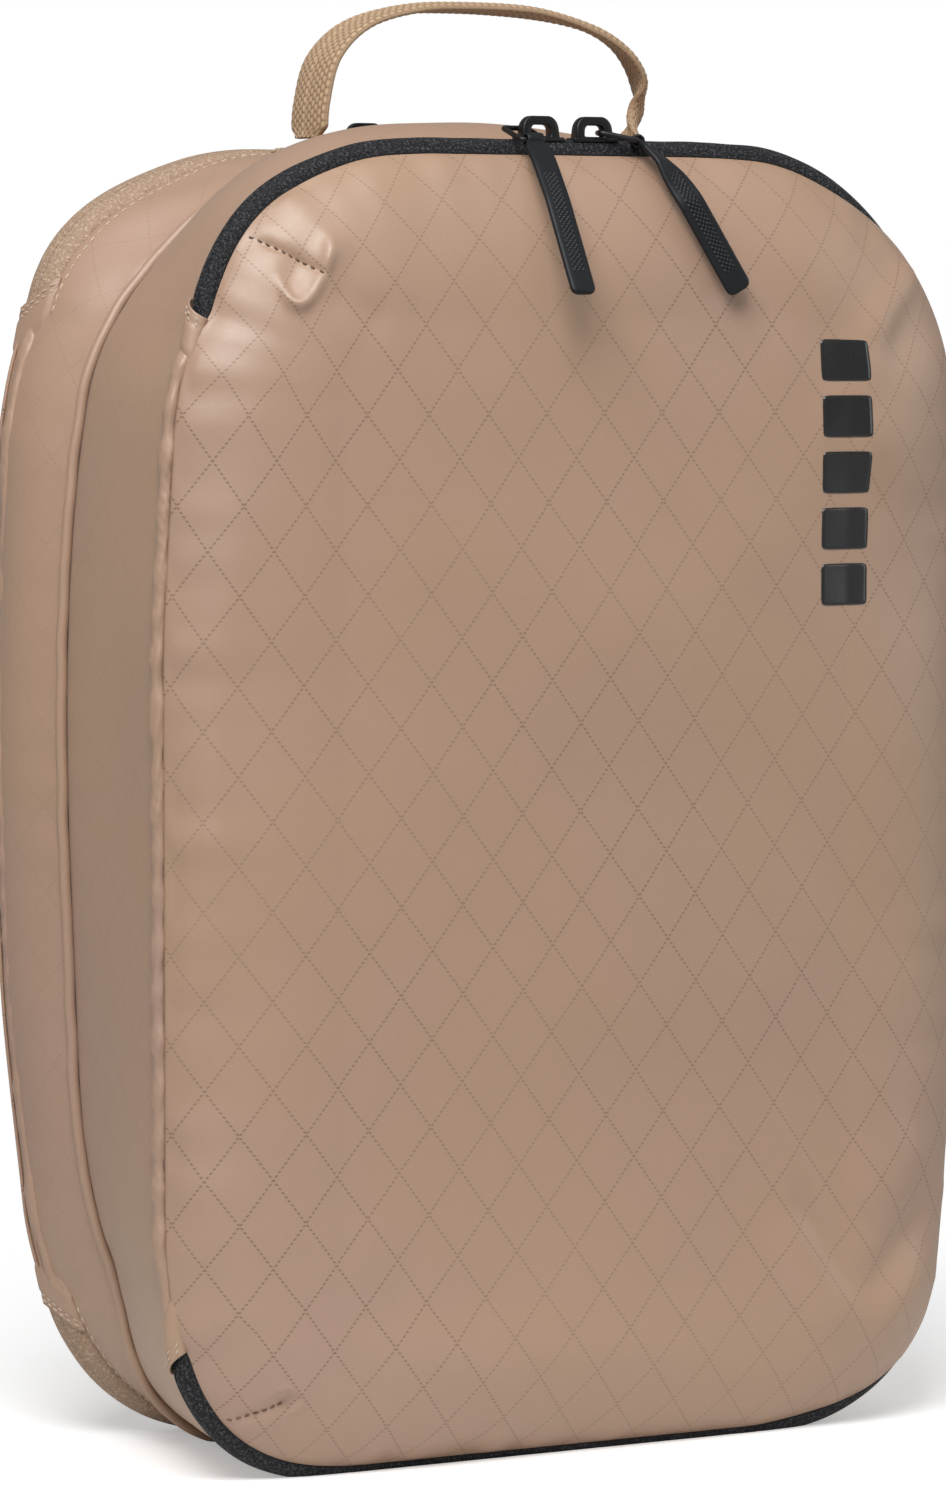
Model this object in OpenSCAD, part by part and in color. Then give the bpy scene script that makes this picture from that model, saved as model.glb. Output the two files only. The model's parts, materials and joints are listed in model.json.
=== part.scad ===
/* [Case] */
// Width of the case outline
case_w = 250; // [210:1:320]
// Height of the case outline, standing on its short side
case_h = 360; // [290:1:450]
// Corner radius of the case outline
corner_r = 68; // [48:1:80]
// Depth of the gusset between the front zip and the middle seam
front_gusset_d = 50; // [30:1:80]
// Depth of the gusset between the middle seam and the back zip
rear_gusset_d = 20; // [14:1:60]
// Thickness of the lined fabric walls
fabric_t = 1.2; // [0.8:0.1:1.6]
// Place of the middle seam behind the origin
mid_seam_y = 12; // [8:1:20]

/* [Seams] */
// Radius of the piping along the middle seam
seam_piping_r = 2; // [1.5:0.1:3]
// Thickness of the divider between the two compartments
divider_t = 1; // [0.6:0.1:2]
// Width of the binding tape that covers each inner seam
binding_w = 6; // [4:0.5:9]
// Thickness of the binding tape
binding_t = 1.2; // [0.8:0.1:1.6]

/* [Front lid] */
// Distance over which the edge of the front panel rounds off
front_edge_r = 45; // [30:1:60]
// Height that the rounded edge of the front panel gains
front_edge_h = 17; // [10:1:30]
// Height that the middle of the front panel gains above its rounded edge
front_crown_h = 5; // [1:0.5:12]

/* [Back flap] */
// Distance over which the edge of the back panel rounds off
back_edge_r = 32; // [20:1:60]
// Height that the rounded edge of the back panel gains
back_edge_h = 9; // [5:1:20]
// Height that the middle of the back panel gains above its rounded edge
back_crown_h = 3; // [1:0.5:8]

/* [Zips] */
// Width of the front zip, both tapes together
front_zip_w = 6; // [5.6:0.1:8]
// Width of the back zip, both tapes together
back_zip_w = 9; // [8:0.1:12]
// Thickness of the zip tapes
tape_t = 1; // [0.6:0.1:1.4]
// Width of the slit that the slider posts run in
slit_w = 1.2; // [1.2:0.1:1.6]
// Width of each coil
coil_w = 1.8; // [1.4:0.1:2]
// Height of the coils under the tapes
coil_h = 1.8; // [1.2:0.1:2.4]
// Angle above the left side at which the zips end at the top
zip_top_deg = 24; // [10:1:40]
// Angle below the left side at which the zips end at the bottom
zip_bottom_deg = 39; // [10:1:50]
// Radius of the piping on the two fabric hinges
hinge_piping_r = 1.8; // [1.2:0.1:2]

/* [Sliders] */
// Length of a slider along the zip
slider_l = 14; // [12:0.5:16]
// Width of a slider across the zip
slider_w = 8; // [7:0.5:9]
// Thickness of the slider plates
slider_plate_t = 1.2; // [1:0.1:1.6]
// Distance from the middle of the case to each front slider
front_slider_x = 8.5; // [8:0.5:14]
// Distance from the middle of the back pair to each back slider
back_slider_x = 8.5; // [8:0.5:14]
// Place of the back pair of sliders along the top
back_pair_x = -12; // [-16:1:16]

/* [Pulls] */
// Diameter of the wire of the pull rings
wire_d = 1.5; // [1.2:0.1:1.6]
// Length of a pull ring between its two bars
ring_l = 11; // [10:0.5:13]
// Width of a pull ring between its two arms
ring_w = 7.5; // [7.2:0.1:8.5]
// Width of a pull strap
strap_w = 7.5; // [6:0.5:9]
// Thickness of a pull strap
strap_t = 2; // [1.6:0.1:2.4]
// Length of the pull strap beyond its shoulder bends
strap_tail_l = 30; // [20:1:36]

/* [Handle] */
// Distance between the feet of the handle
handle_span = 104; // [80:1:120]
// Height of the handle above the case
handle_h = 39; // [30:1:50]
// Width of the handle webbing
webbing_w = 20; // [15:1:25]
// Thickness of the handle webbing
webbing_t = 1.8; // [1.4:0.1:2.4]
// Radius at the two upper corners of the handle
handle_r = 30; // [20:1:30]

/* [Hidden] */
$fn = 96;

EDGE_STEPS = 7; // rings over the rounded edge of a panel
CROWN_STEPS = 3; // rings over its crown
CORNER_STEPS = 10; // points round each corner of a ring
CROWN_IN = 92; // how far in from the rim the crown is drawn
TIP_R = 6; // smallest corner of the inner rings

clearance = 0.3; // running gap between pieces that move apart
far = 2 * (case_w + case_h); // longer than any cut has to reach

front_edge_y = mid_seam_y - front_gusset_d;
rear_edge_y = mid_seam_y + rear_gusset_d;
front_zip_y = front_edge_y - front_zip_w / 2;
back_zip_y = rear_edge_y + back_zip_w / 2;
lid_y = front_edge_y - front_zip_w; // rim plane of the front lid
flap_y = rear_edge_y + back_zip_w; // rim plane of the back flap
arc_x = case_w / 2 - corner_r; // corner centres from the middle
arc_low_z = corner_r;
arc_high_z = case_h - corner_r;
hinge_out = 0.6; // from the side of the case out to the axis of both fabric hinges
hinge_x = -case_w / 2 - hinge_out;
hem_gap = hinge_piping_r + clearance;
lower_plate_w = slider_w - 1;
lower_plate_l = slider_l - 2;
plate_corner_r = 2;
rim_binding_d = 0.8; // depth of the binding in the rim of each panel
rim_margin = 0.1; // beyond the running gap between that binding and the lower plates
rim_gap = max(clearance, lower_plate_w / 2 + clearance + rim_margin - front_zip_w / 2);

top_plate_z = case_h + clearance;
crown_z = top_plate_z + slider_plate_t;
bottom_plate_z = case_h - tape_t - coil_h - clearance - slider_plate_t;
crown_l = 12;
crown_w = 2.4;
crown_wall = 2.2;
crown_roof = 1.7;
eye_h = 4; // height of the hole under the crown
eye_sill = 1.1; // from the upper plate to the hole
eye_z = crown_z + eye_sill + eye_h / 2;
post_l = 3;
ring_back = 3.2; // from the crown to the rear bar of a ring that points forward
side_eye_x = 2.1; // rear bar of a ring that points sideways
eye_r = wire_d / 2 + clearance; // bore of the strap loop
loop_wall = 1;
loop_r = eye_r + loop_wall;
loop_w = ring_w - wire_d - 2 * clearance;
neck_l = 10; // first bend of a strap, over the zip
shoulder_l = 14; // second bend, over the rounded edge of the panel
front_ring_dip = 18; // degrees that a forward ring hangs below level
side_ring_drop = 2.287; // from the rear bar of the sideways ring down to its end bar
side_ring_dip = asin(side_ring_drop / ring_l);
side_ring_turn = -25; // degrees from the zip that the sideways ring points forward

// Compass angle and dip of the three stretches of each strap.
left_strap_legs = [[-90, 38], [-88, 50], [-78, 66]];
right_strap_legs = [[side_ring_turn, 6], [-78, 48], [-36, 61]];
right_strap_edge = unit([1, 0, 0.6]); // direction across the free end of the right strap
back_left_strap_legs = [[90, 50], [90, 75], [94, 84]];
back_right_strap_legs = [[90, 50], [88, 75], [80, 82]];

left_x = -front_slider_x;
right_x = front_slider_x;
back_left_x = back_pair_x - back_slider_x;
back_right_x = back_pair_x + back_slider_x;
ring_play = 0.95; // between the wall of the crown and the arm of a ring that points forward
forward_ring_x = -(crown_l / 2 - crown_wall - wire_d / 2 - ring_play) - ring_w / 2;
slab_l = 0.4; // length of the slices that a strap is drawn between

foot_r = 1.5; // roll of webbing that each foot tips on
handle_axis_z = case_h + seam_piping_r + clearance + foot_r;
handle_rise = case_h + handle_h - handle_axis_z; // from the tipping axis to the top of the arch
tab_l = 12;
tab_t = 1.2;

tan_cloth = [0.73, 0.61, 0.51];
inner_cloth = [0.62, 0.52, 0.43];
beige = [0.80, 0.71, 0.60];
black_cloth = [0.10, 0.10, 0.11];
black_metal = [0.07, 0.07, 0.08];
black_rubber = [0.14, 0.14, 0.15];

// Rounded outline of the case, grown outwards or inwards.
module outline(grow = 0) {
    translate([-arc_x, -grow]) square([2 * arc_x, case_h + 2 * grow]);
    translate([-case_w / 2 - grow, arc_low_z]) square([case_w + 2 * grow, arc_high_z - arc_low_z]);
    for (x = [-arc_x, arc_x], z = [arc_low_z, arc_high_z])
        translate([x, z]) circle(corner_r + grow);
}

// The part of the plane beside the hinges, where no zip runs.
module hinge_side(trim = 0) {
    high = zip_top_deg - trim;
    low = zip_bottom_deg - trim;
    polygon([
        [-arc_x, arc_low_z],
        [-arc_x - far * cos(low), arc_low_z - far * sin(low)],
        [-arc_x - far * cos(high), arc_high_z + far * sin(high)],
        [-arc_x, arc_high_z]
    ]);
}

// Turns a drawing of the outline into a solid between two depths.
module stand(y0, y1) {
    translate([0, y1, 0]) rotate([90, 0, 0]) linear_extrude(y1 - y0) children();
}

module band(y0, y1, outer, inner) {
    stand(y0, y1) difference() {
        outline(outer);
        outline(inner);
    }
}

module zip_band(y0, y1, outer, inner) {
    stand(y0, y1) difference() {
        outline(outer);
        outline(inner);
        hinge_side();
    }
}

module hinge_band(y0, y1, outer, inner) {
    stand(y0, y1) intersection() {
        difference() {
            outline(outer);
            outline(inner);
        }
        hinge_side(clearance);
    }
}

module front_gusset() {
    color(tan_cloth) band(front_edge_y, mid_seam_y - seam_piping_r, 0, -fabric_t);
}

module rear_gusset() {
    color(tan_cloth) band(mid_seam_y + seam_piping_r, rear_edge_y, 0, -fabric_t);
}

module divider_panel() {
    color(inner_cloth) stand(mid_seam_y - divider_t / 2, mid_seam_y + divider_t / 2) outline(-fabric_t);
}

// A rod that follows the outline along its sides and round its corners.
module outline_rod(r) {
    for (x = [-case_w / 2, case_w / 2])
        translate([x, 0, arc_low_z]) cylinder(r = r, h = arc_high_z - arc_low_z);
    for (z = [0, case_h])
        translate([-arc_x, 0, z]) rotate([0, 90, 0]) cylinder(r = r, h = 2 * arc_x);
    for (side = [0, 1], up = [0, 1])
        translate([side ? arc_x : -arc_x, 0, up ? arc_high_z : arc_low_z])
            rotate([90, 0, 0]) rotate([0, 0, up ? (side ? 0 : 90) : (side ? 270 : 180)])
                rotate_extrude(angle = 90) translate([corner_r, 0]) circle(r);
}

// The folded edge that stands proud along the middle seam, pressed flat underneath.
module mid_seam_piping() {
    color(tan_cloth) difference() {
        translate([0, mid_seam_y, 0]) outline_rod(seam_piping_r);
        stand(mid_seam_y - far, mid_seam_y + far) outline(-fabric_t);
        translate([-far / 2, -far / 2, -far]) cube([far, far, far]);
    }
}

module binding(y0) {
    band(y0, y0 + binding_w, -fabric_t, -fabric_t - binding_t);
}

module front_seam_binding() {
    color(inner_cloth) binding(front_edge_y);
}

module mid_seam_binding() {
    color(inner_cloth) binding(mid_seam_y - divider_t / 2 - binding_w);
}

module rear_seam_binding() {
    color(inner_cloth) binding(rear_edge_y - binding_w);
}

module hinge_piping(y) {
    translate([hinge_x, y, arc_low_z]) cylinder(r = hinge_piping_r, h = arc_high_z - arc_low_z);
}

module front_hinge_piping() {
    color(tan_cloth) {
        hinge_band(front_zip_y, front_edge_y, 0, -fabric_t);
        hinge_piping(front_zip_y);
    }
}

module rear_hinge_piping() {
    color(tan_cloth) {
        hinge_band(rear_edge_y, back_zip_y, 0, -fabric_t);
        hinge_piping(back_zip_y);
    }
}

module coil(y0) {
    zip_band(y0, y0 + coil_w, -tape_t, -tape_t - coil_h);
}

module front_zip_case_tape() {
    color(black_cloth) zip_band(front_zip_y + slit_w / 2, front_edge_y, 0, -tape_t);
}

module front_zip_case_coil() {
    color(black_cloth) coil(front_zip_y + slit_w / 2);
}

module front_zip_lid_tape() {
    color(black_cloth) zip_band(lid_y, front_zip_y - slit_w / 2, 0, -tape_t);
}

module front_zip_lid_coil() {
    color(black_cloth) coil(front_zip_y - slit_w / 2 - coil_w);
}

module rear_zip_case_tape() {
    color(beige) zip_band(rear_edge_y, back_zip_y - slit_w / 2, 0, -tape_t);
}

module rear_zip_case_coil() {
    color(beige) coil(back_zip_y - slit_w / 2 - coil_w);
}

module rear_zip_flap_tape() {
    color(beige) zip_band(back_zip_y + slit_w / 2, flap_y, 0, -tape_t);
}

module rear_zip_flap_coil() {
    color(beige) coil(back_zip_y + slit_w / 2);
}

// How far in from the rim the rings of the crown reach.
function crown_in() = min(CROWN_IN, case_w / 2 - 2 * TIP_R);
// Points of a panel's rings: distance in from the rim and height above it, edge then crown.
function profile(edge_r, edge_h, crown_h, t) = [
    for (i = [0 : EDGE_STEPS])
        let (a = 90 * i / EDGE_STEPS)
            [t + (edge_r - t) * (1 - cos(a)), (edge_h - t) * sin(a)],
    for (i = [1 : CROWN_STEPS])
        let (s = i / CROWN_STEPS)
            [edge_r + s * (crown_in() - edge_r), edge_h - t + crown_h * s * (2 - s)]
];

function ring_points(inset, y) =
    let (r = max(corner_r - inset, TIP_R), x = case_w / 2 - inset - r, z = case_h / 2 - inset - r)
        [for (q = [0 : 3], i = [0 : CORNER_STEPS])
            let (a = 90 * q + 90 * i / CORNER_STEPS)
                [(q == 0 || q == 3 ? x : -x) + r * cos(a), y,
                 case_h / 2 + (q < 2 ? z : -z) + r * sin(a)]];

// A thin crowned shell, open towards the case; side is -1 in front and 1 behind.
module panel(rim_y, side, edge_r, edge_h, crown_h) {
    outer = profile(edge_r, edge_h, crown_h, 0);
    inner = profile(edge_r, edge_h, crown_h, fabric_t);
    rings = len(outer);
    n = 4 * (CORNER_STEPS + 1);
    points = [
        for (p = outer) each ring_points(p[0], rim_y + side * p[1]),
        for (p = inner) each ring_points(p[0], rim_y + side * p[1])
    ];
    in0 = rings * n;
    function quad(a, b, i, flip) =
        let (j = (i + 1) % n)
            flip ? [[a + i, b + i, b + j], [a + i, b + j, a + j]]
                 : [[a + i, b + j, b + i], [a + i, a + j, b + j]];
    faces = [
        for (k = [0 : rings - 2], i = [0 : n - 1]) each quad(k * n, (k + 1) * n, i, side > 0),
        for (k = [0 : rings - 2], i = [0 : n - 1]) each quad(in0 + k * n, in0 + (k + 1) * n, i, side < 0),
        for (i = [0 : n - 1]) each quad(0, in0, i, side < 0),
        [for (i = [0 : n - 1]) (rings - 1) * n + (side > 0 ? n - 1 - i : i)],
        [for (i = [0 : n - 1]) in0 + (rings - 1) * n + (side > 0 ? i : n - 1 - i)]
    ];
    polyhedron(points = points, faces = faces, convexity = 6);
}

module front_panel() {
    color(tan_cloth) panel(lid_y, -1, front_edge_r, front_edge_h, front_crown_h);
}

module front_panel_hem() {
    color(tan_cloth) hinge_band(lid_y, front_zip_y - hem_gap, 0, -fabric_t);
}

// Binding inside the rim of a panel, in the hollow of the panel's first ring.
module rim_binding(y0, edge_r) {
    inset = clearance + fabric_t + (edge_r - fabric_t) * (1 - cos(90 / EDGE_STEPS));
    band(y0, y0 + rim_binding_d, -inset, -inset - binding_t);
}

module front_panel_binding() {
    color(inner_cloth) rim_binding(lid_y - rim_gap - rim_binding_d, front_edge_r);
}

module back_panel() {
    color(tan_cloth) panel(flap_y, 1, back_edge_r, back_edge_h, back_crown_h);
}

module back_panel_hem() {
    color(tan_cloth) hinge_band(back_zip_y + hem_gap, flap_y, 0, -fabric_t);
}

module back_panel_binding() {
    color(inner_cloth) rim_binding(flap_y + rim_gap, back_edge_r);
}

module rounded_plate(l, w, t, r) {
    linear_extrude(t) {
        square([l - 2 * r, w], center = true);
        square([l, w - 2 * r], center = true);
        for (x = [-1, 1], y = [-1, 1])
            translate([x * (l / 2 - r), y * (w / 2 - r)]) circle(r);
    }
}

// Arch with a hole under it, standing on the slider's upper plate.
module crown() {
    rise = crown_roof + eye_h + eye_sill;
    rotate([90, 0, 0]) translate([0, 0, -crown_w / 2]) linear_extrude(crown_w) difference() {
        union() {
            translate([-crown_l / 2, 0]) square([crown_l, rise - crown_wall]);
            translate([-crown_l / 2 + crown_wall, 0]) square([crown_l - 2 * crown_wall, rise]);
            for (x = [-1, 1])
                translate([x * (crown_l / 2 - crown_wall), rise - crown_wall]) circle(crown_wall);
        }
        translate([-crown_l / 2 + crown_wall, eye_sill]) square([crown_l - 2 * crown_wall, eye_h]);
    }
}

module slider(x, y) {
    color(black_metal) translate([x, y, 0]) {
        translate([0, 0, top_plate_z]) rounded_plate(slider_l, slider_w, slider_plate_t, plate_corner_r);
        translate([0, 0, crown_z]) crown();
        translate([0, 0, bottom_plate_z])
            rounded_plate(lower_plate_l, lower_plate_w, slider_plate_t, plate_corner_r);
        translate([-post_l / 2, -(slit_w / 2 - clearance), bottom_plate_z])
            cube([post_l, slit_w - 2 * clearance, top_plate_z - bottom_plate_z + slider_plate_t]);
    }
}

module bar(a, b) {
    run = b - a;
    turn = atan2(run[1], run[0]);
    translate(a) rotate([0, 0, turn]) rotate([0, 90, 0]) cylinder(d = wire_d, h = norm(run));
    translate(a) sphere(d = wire_d);
}

// Wire loop from its rear bar at the origin along +X.
module wire_ring() {
    corners = [[0, -ring_w / 2, 0], [ring_l, -ring_w / 2, 0], [ring_l, ring_w / 2, 0], [0, ring_w / 2, 0]];
    for (i = [0 : 3])
        bar(corners[i], corners[(i + 1) % 4]);
}

module forward_ring(x, y, side) {
    color(black_metal) translate([x + forward_ring_x, y, eye_z])
        rotate([0, 0, side * 90]) rotate([0, front_ring_dip, 0]) translate([-ring_back, 0, 0]) wire_ring();
}

module side_ring(x, y) {
    color(black_metal) translate([x + side_eye_x, y, eye_z])
        rotate([0, 0, side_ring_turn]) rotate([0, side_ring_dip, 0]) wire_ring();
}

// End bar of each kind of ring, which a strap hangs on.
function forward_end(x, y, side) =
    [x + forward_ring_x, y + side * (ring_l - ring_back) * cos(front_ring_dip),
     eye_z - (ring_l - ring_back) * sin(front_ring_dip)];
function side_end(x, y) =
    [x + side_eye_x + ring_l * cos(side_ring_dip) * cos(side_ring_turn),
     y + ring_l * cos(side_ring_dip) * sin(side_ring_turn),
     eye_z - ring_l * sin(side_ring_dip)];

// Direction that points down by dip degrees towards a compass angle.
function heading(compass, dip) = [cos(dip) * cos(compass), cos(dip) * sin(compass), -sin(dip)];
function unit(v) = v / norm(v);

module slab(p, along, across, w, t) {
    side = unit(across - (across * along) * along);
    face = cross(along, side);
    multmatrix([
        [side[0], face[0], along[0], p[0]],
        [side[1], face[1], along[1], p[1]],
        [side[2], face[2], along[2], p[2]],
        [0, 0, 0, 1]
    ]) cube([w, t, slab_l], center = true);
}

// Strap looped over a bar: legs holds the compass angle and dip of its three stretches.
module strap(start, bar_dir, end_dir, legs) {
    dirs = [for (l = legs) heading(l[0], l[1])];
    p1 = start + (loop_r + slab_l) * dirs[0];
    p2 = start + neck_l * dirs[0];
    p3 = p2 + shoulder_l * dirs[1];
    p4 = p3 + strap_tail_l * dirs[2];
    mid_dir = unit(bar_dir + end_dir);
    color(black_rubber) {
        difference() {
            union() {
                translate(start) rotate([0, 0, atan2(bar_dir[1], bar_dir[0])]) rotate([0, 90, 0])
                    cylinder(r = loop_r, h = loop_w, center = true);
                hull() {
                    slab(start + eye_r * dirs[0], dirs[0], bar_dir, loop_w, strap_t);
                    slab(p1, dirs[0], bar_dir, loop_w, strap_t);
                }
            }
            translate(start) rotate([0, 0, atan2(bar_dir[1], bar_dir[0])]) rotate([0, 90, 0])
                cylinder(r = eye_r, h = 2 * loop_w, center = true);
        }
        hull() {
            slab(p1, dirs[0], bar_dir, loop_w, strap_t);
            slab(p2, unit(dirs[0] + dirs[1]), mid_dir, strap_w, strap_t);
        }
        hull() {
            slab(p2, unit(dirs[0] + dirs[1]), mid_dir, strap_w, strap_t);
            slab(p3, unit(dirs[1] + dirs[2]), end_dir, strap_w, strap_t);
        }
        hull() {
            slab(p3, unit(dirs[1] + dirs[2]), end_dir, strap_w, strap_t);
            slab(p4, dirs[2], end_dir, strap_w, strap_t);
        }
    }
}

module left_slider() {
    slider(left_x, front_zip_y);
}

module left_pull_ring() {
    forward_ring(left_x, front_zip_y, -1);
}

module left_pull_strap() {
    strap(forward_end(left_x, front_zip_y, -1), [1, 0, 0], [1, 0, 0], left_strap_legs);
}

module right_slider() {
    slider(right_x, front_zip_y);
}

module right_pull_ring() {
    side_ring(right_x, front_zip_y);
}

module right_pull_strap() {
    strap(side_end(right_x, front_zip_y), [-sin(side_ring_turn), cos(side_ring_turn), 0],
        right_strap_edge, right_strap_legs);
}

module back_left_slider() {
    slider(back_left_x, back_zip_y);
}

module back_left_ring() {
    forward_ring(back_left_x, back_zip_y, 1);
}

module back_left_strap() {
    strap(forward_end(back_left_x, back_zip_y, 1), [1, 0, 0], [1, 0, 0], back_left_strap_legs);
}

module back_right_slider() {
    slider(back_right_x, back_zip_y);
}

module back_right_ring() {
    forward_ring(back_right_x, back_zip_y, 1);
}

module back_right_strap() {
    strap(forward_end(back_right_x, back_zip_y, 1), [1, 0, 0], [1, 0, 0], back_right_strap_legs);
}

// Arch of webbing seen from the front, as a drawing.
module arch(grow) {
    w = handle_span + 2 * grow;
    r = handle_r + grow;
    translate([-w / 2, -foot_r]) square([w, foot_r + handle_rise + grow - r]);
    translate([-w / 2 + r, -foot_r]) square([w - 2 * r, foot_r + handle_rise + grow]);
    for (x = [-1, 1])
        translate([x * (w / 2 - r), handle_rise + grow - r]) circle(r);
}

// Webbing loop whose feet narrow to the fold that it tips about.
module handle_webbing() {
    flare_z = webbing_w / 2;
    color(tan_cloth) {
        translate([0, mid_seam_y, handle_axis_z]) intersection() {
            translate([0, webbing_w / 2, 0]) rotate([90, 0, 0]) linear_extrude(webbing_w) difference() {
                arch(webbing_t / 2);
                arch(-webbing_t / 2);
            }
            rotate([90, 0, 90]) translate([0, 0, -far / 2]) linear_extrude(far) {
                circle(foot_r);
                polygon([
                    [-foot_r, 0], [foot_r, 0],
                    [webbing_w / 2, flare_z], [webbing_w / 2, 2 * handle_h],
                    [-webbing_w / 2, 2 * handle_h], [-webbing_w / 2, flare_z]
                ]);
            }
        }
    }
}

// Ends of the webbing, laid flat inside the arch and sewn to the gusset on both sides of the piping.
module handle_anchor_tabs() {
    gap = seam_piping_r + clearance;
    half = webbing_w / 2;
    color(tan_cloth) for (x = [-1, 1], y = [-1, 1])
        translate([x * handle_span / 2 - tab_l / 2, mid_seam_y + (y > 0 ? gap : -half), case_h])
            cube([tab_l, half - gap, tab_t]);
}

front_gusset();
rear_gusset();
divider_panel();
mid_seam_piping();
front_seam_binding();
mid_seam_binding();
rear_seam_binding();
front_hinge_piping();
rear_hinge_piping();
front_zip_case_tape();
front_zip_case_coil();
rear_zip_case_tape();
rear_zip_case_coil();
handle_anchor_tabs();
front_panel();
front_panel_hem();
front_panel_binding();
front_zip_lid_tape();
front_zip_lid_coil();
back_panel();
back_panel_hem();
back_panel_binding();
rear_zip_flap_tape();
rear_zip_flap_coil();
handle_webbing();
left_slider();
left_pull_ring();
left_pull_strap();
right_slider();
right_pull_ring();
right_pull_strap();
back_left_slider();
back_left_ring();
back_left_strap();
back_right_slider();
back_right_ring();
back_right_strap();
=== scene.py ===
import json
import math
import random
import bpy
import bmesh
import numpy as np
from mathutils import Matrix, Vector
from mathutils.bvhtree import BVHTree

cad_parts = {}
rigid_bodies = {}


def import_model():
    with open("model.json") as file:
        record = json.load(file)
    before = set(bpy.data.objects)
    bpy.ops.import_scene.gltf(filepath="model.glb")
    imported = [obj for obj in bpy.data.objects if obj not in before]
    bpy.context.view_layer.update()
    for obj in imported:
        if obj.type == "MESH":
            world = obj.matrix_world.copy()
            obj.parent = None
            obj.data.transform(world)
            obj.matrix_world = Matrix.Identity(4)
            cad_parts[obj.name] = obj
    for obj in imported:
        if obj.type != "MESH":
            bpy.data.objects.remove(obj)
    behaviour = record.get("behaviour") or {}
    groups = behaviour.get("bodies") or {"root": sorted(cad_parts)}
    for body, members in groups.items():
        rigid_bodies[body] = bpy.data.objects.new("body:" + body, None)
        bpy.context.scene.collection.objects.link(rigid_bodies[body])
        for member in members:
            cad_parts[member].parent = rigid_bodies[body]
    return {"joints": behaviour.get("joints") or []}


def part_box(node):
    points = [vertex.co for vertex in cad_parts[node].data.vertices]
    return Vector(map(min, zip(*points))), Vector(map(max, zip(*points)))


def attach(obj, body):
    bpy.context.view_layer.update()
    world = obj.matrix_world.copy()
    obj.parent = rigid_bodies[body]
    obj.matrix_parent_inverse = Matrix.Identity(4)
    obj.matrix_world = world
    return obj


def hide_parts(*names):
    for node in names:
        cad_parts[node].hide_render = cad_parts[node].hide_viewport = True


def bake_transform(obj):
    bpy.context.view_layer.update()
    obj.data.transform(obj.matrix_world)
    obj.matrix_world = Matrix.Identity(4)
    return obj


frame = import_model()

carried = {piece.name for piece in bpy.data.objects}

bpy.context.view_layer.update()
mm = 0.001

# The outline that every seam of the cube follows; the sizes come from the frame.
gussetLow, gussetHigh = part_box("front_gusset")
rearLow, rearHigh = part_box("rear_gusset")
lidLow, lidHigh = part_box("front_panel")
flapLow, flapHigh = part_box("back_panel")
pipeLow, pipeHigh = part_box("mid_seam_piping")
case = {
    "width": gussetHigh.x - gussetLow.x,
    "height": gussetHigh.z - gussetLow.z,
    "corner": 68 * mm,
    "frontEdge": gussetLow.y,
    "midSeam": (pipeLow.y + pipeHigh.y) / 2,
    "rearEdge": rearHigh.y,
    "lidRim": lidHigh.y,
    "flapRim": flapLow.y,
    "zipTop": math.radians(24),      # where the zips end, measured round the corners
    "zipBottom": math.radians(29),
}
case["frontZip"] = (case["frontEdge"] + case["lidRim"]) / 2
case["backZip"] = (case["rearEdge"] + case["flapRim"]) / 2

halfSide = case["height"] / 2 - case["corner"]
topRun = case["width"] - 2 * case["corner"]
cornerRun = case["corner"] * math.pi / 2
loopLength = 2 * topRun + 4 * halfSide + 4 * cornerRun
zipStart = halfSide + case["corner"] * case["zipTop"]
zipEnd = loopLength - halfSide - case["corner"] * case["zipBottom"]


def fromSpot(s, spot):
    # Signed length along the loop from a spot.
    return np.mod(np.asarray(s, float) - spot + loopLength / 2, loopLength) - loopLength / 2


def archOver(s, spot, reach):
    # A smooth hump round one place of the loop, nothing past its reach.
    return np.cos(math.pi / 2 * np.clip(np.abs(fromSpot(s, spot)) / reach, 0, 1)) ** 2


# middles of the four corners, clockwise from the upper left
cornerSpots = [halfSide + cornerRun / 2, halfSide + cornerRun * 1.5 + topRun,
               loopLength - halfSide - 1.5 * cornerRun - topRun, loopLength - halfSide - cornerRun / 2]


def cornerGrow(s):
    # The filling pushes the lower corners out, the left one most; the right side draws in above its corner.
    right, left = cornerSpots[2:]
    return (6.3 * archOver(s, left - 4 * mm, 50 * mm) + 5.0 * archOver(s, right, 46 * mm)
            - 1.6 * archOver(s, right - 46 * mm, 34 * mm)) * mm


def outline(s, grow=0.0):
    # Point and outward direction at length s, from the middle of the left side upwards and round.
    s = np.mod(np.asarray(s, float), loopLength)
    r = case["corner"]
    cx, low, high = case["width"] / 2 - r, r, case["height"] - r
    angle, x, z = np.full(s.shape, math.pi), np.full(s.shape, -case["width"] / 2), case["height"] / 2 + s
    at = halfSide
    for px, pz, start, run in ((-cx, high, math.pi, topRun), (cx, high, math.pi / 2, 2 * halfSide),
                               (cx, low, 0.0, topRun), (-cx, low, -math.pi / 2, halfSide)):
        # a quarter turn about the corner's centre, then the straight run after it
        turned = start - np.clip((s - at) / cornerRun, 0, 1) * math.pi / 2
        past = np.clip(s - at - cornerRun, 0, run)
        reached = s >= at
        angle = np.where(reached, turned, angle)
        x = np.where(reached, px + r * np.cos(turned) - past * math.cos(start), x)
        z = np.where(reached, pz + r * np.sin(turned) - past * math.sin(start), z)
        at += cornerRun + run
    nx, nz = np.cos(angle), np.sin(angle)
    grow = grow + cornerGrow(s)
    return x + nx * grow, z + nz * grow, nx, nz


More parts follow.
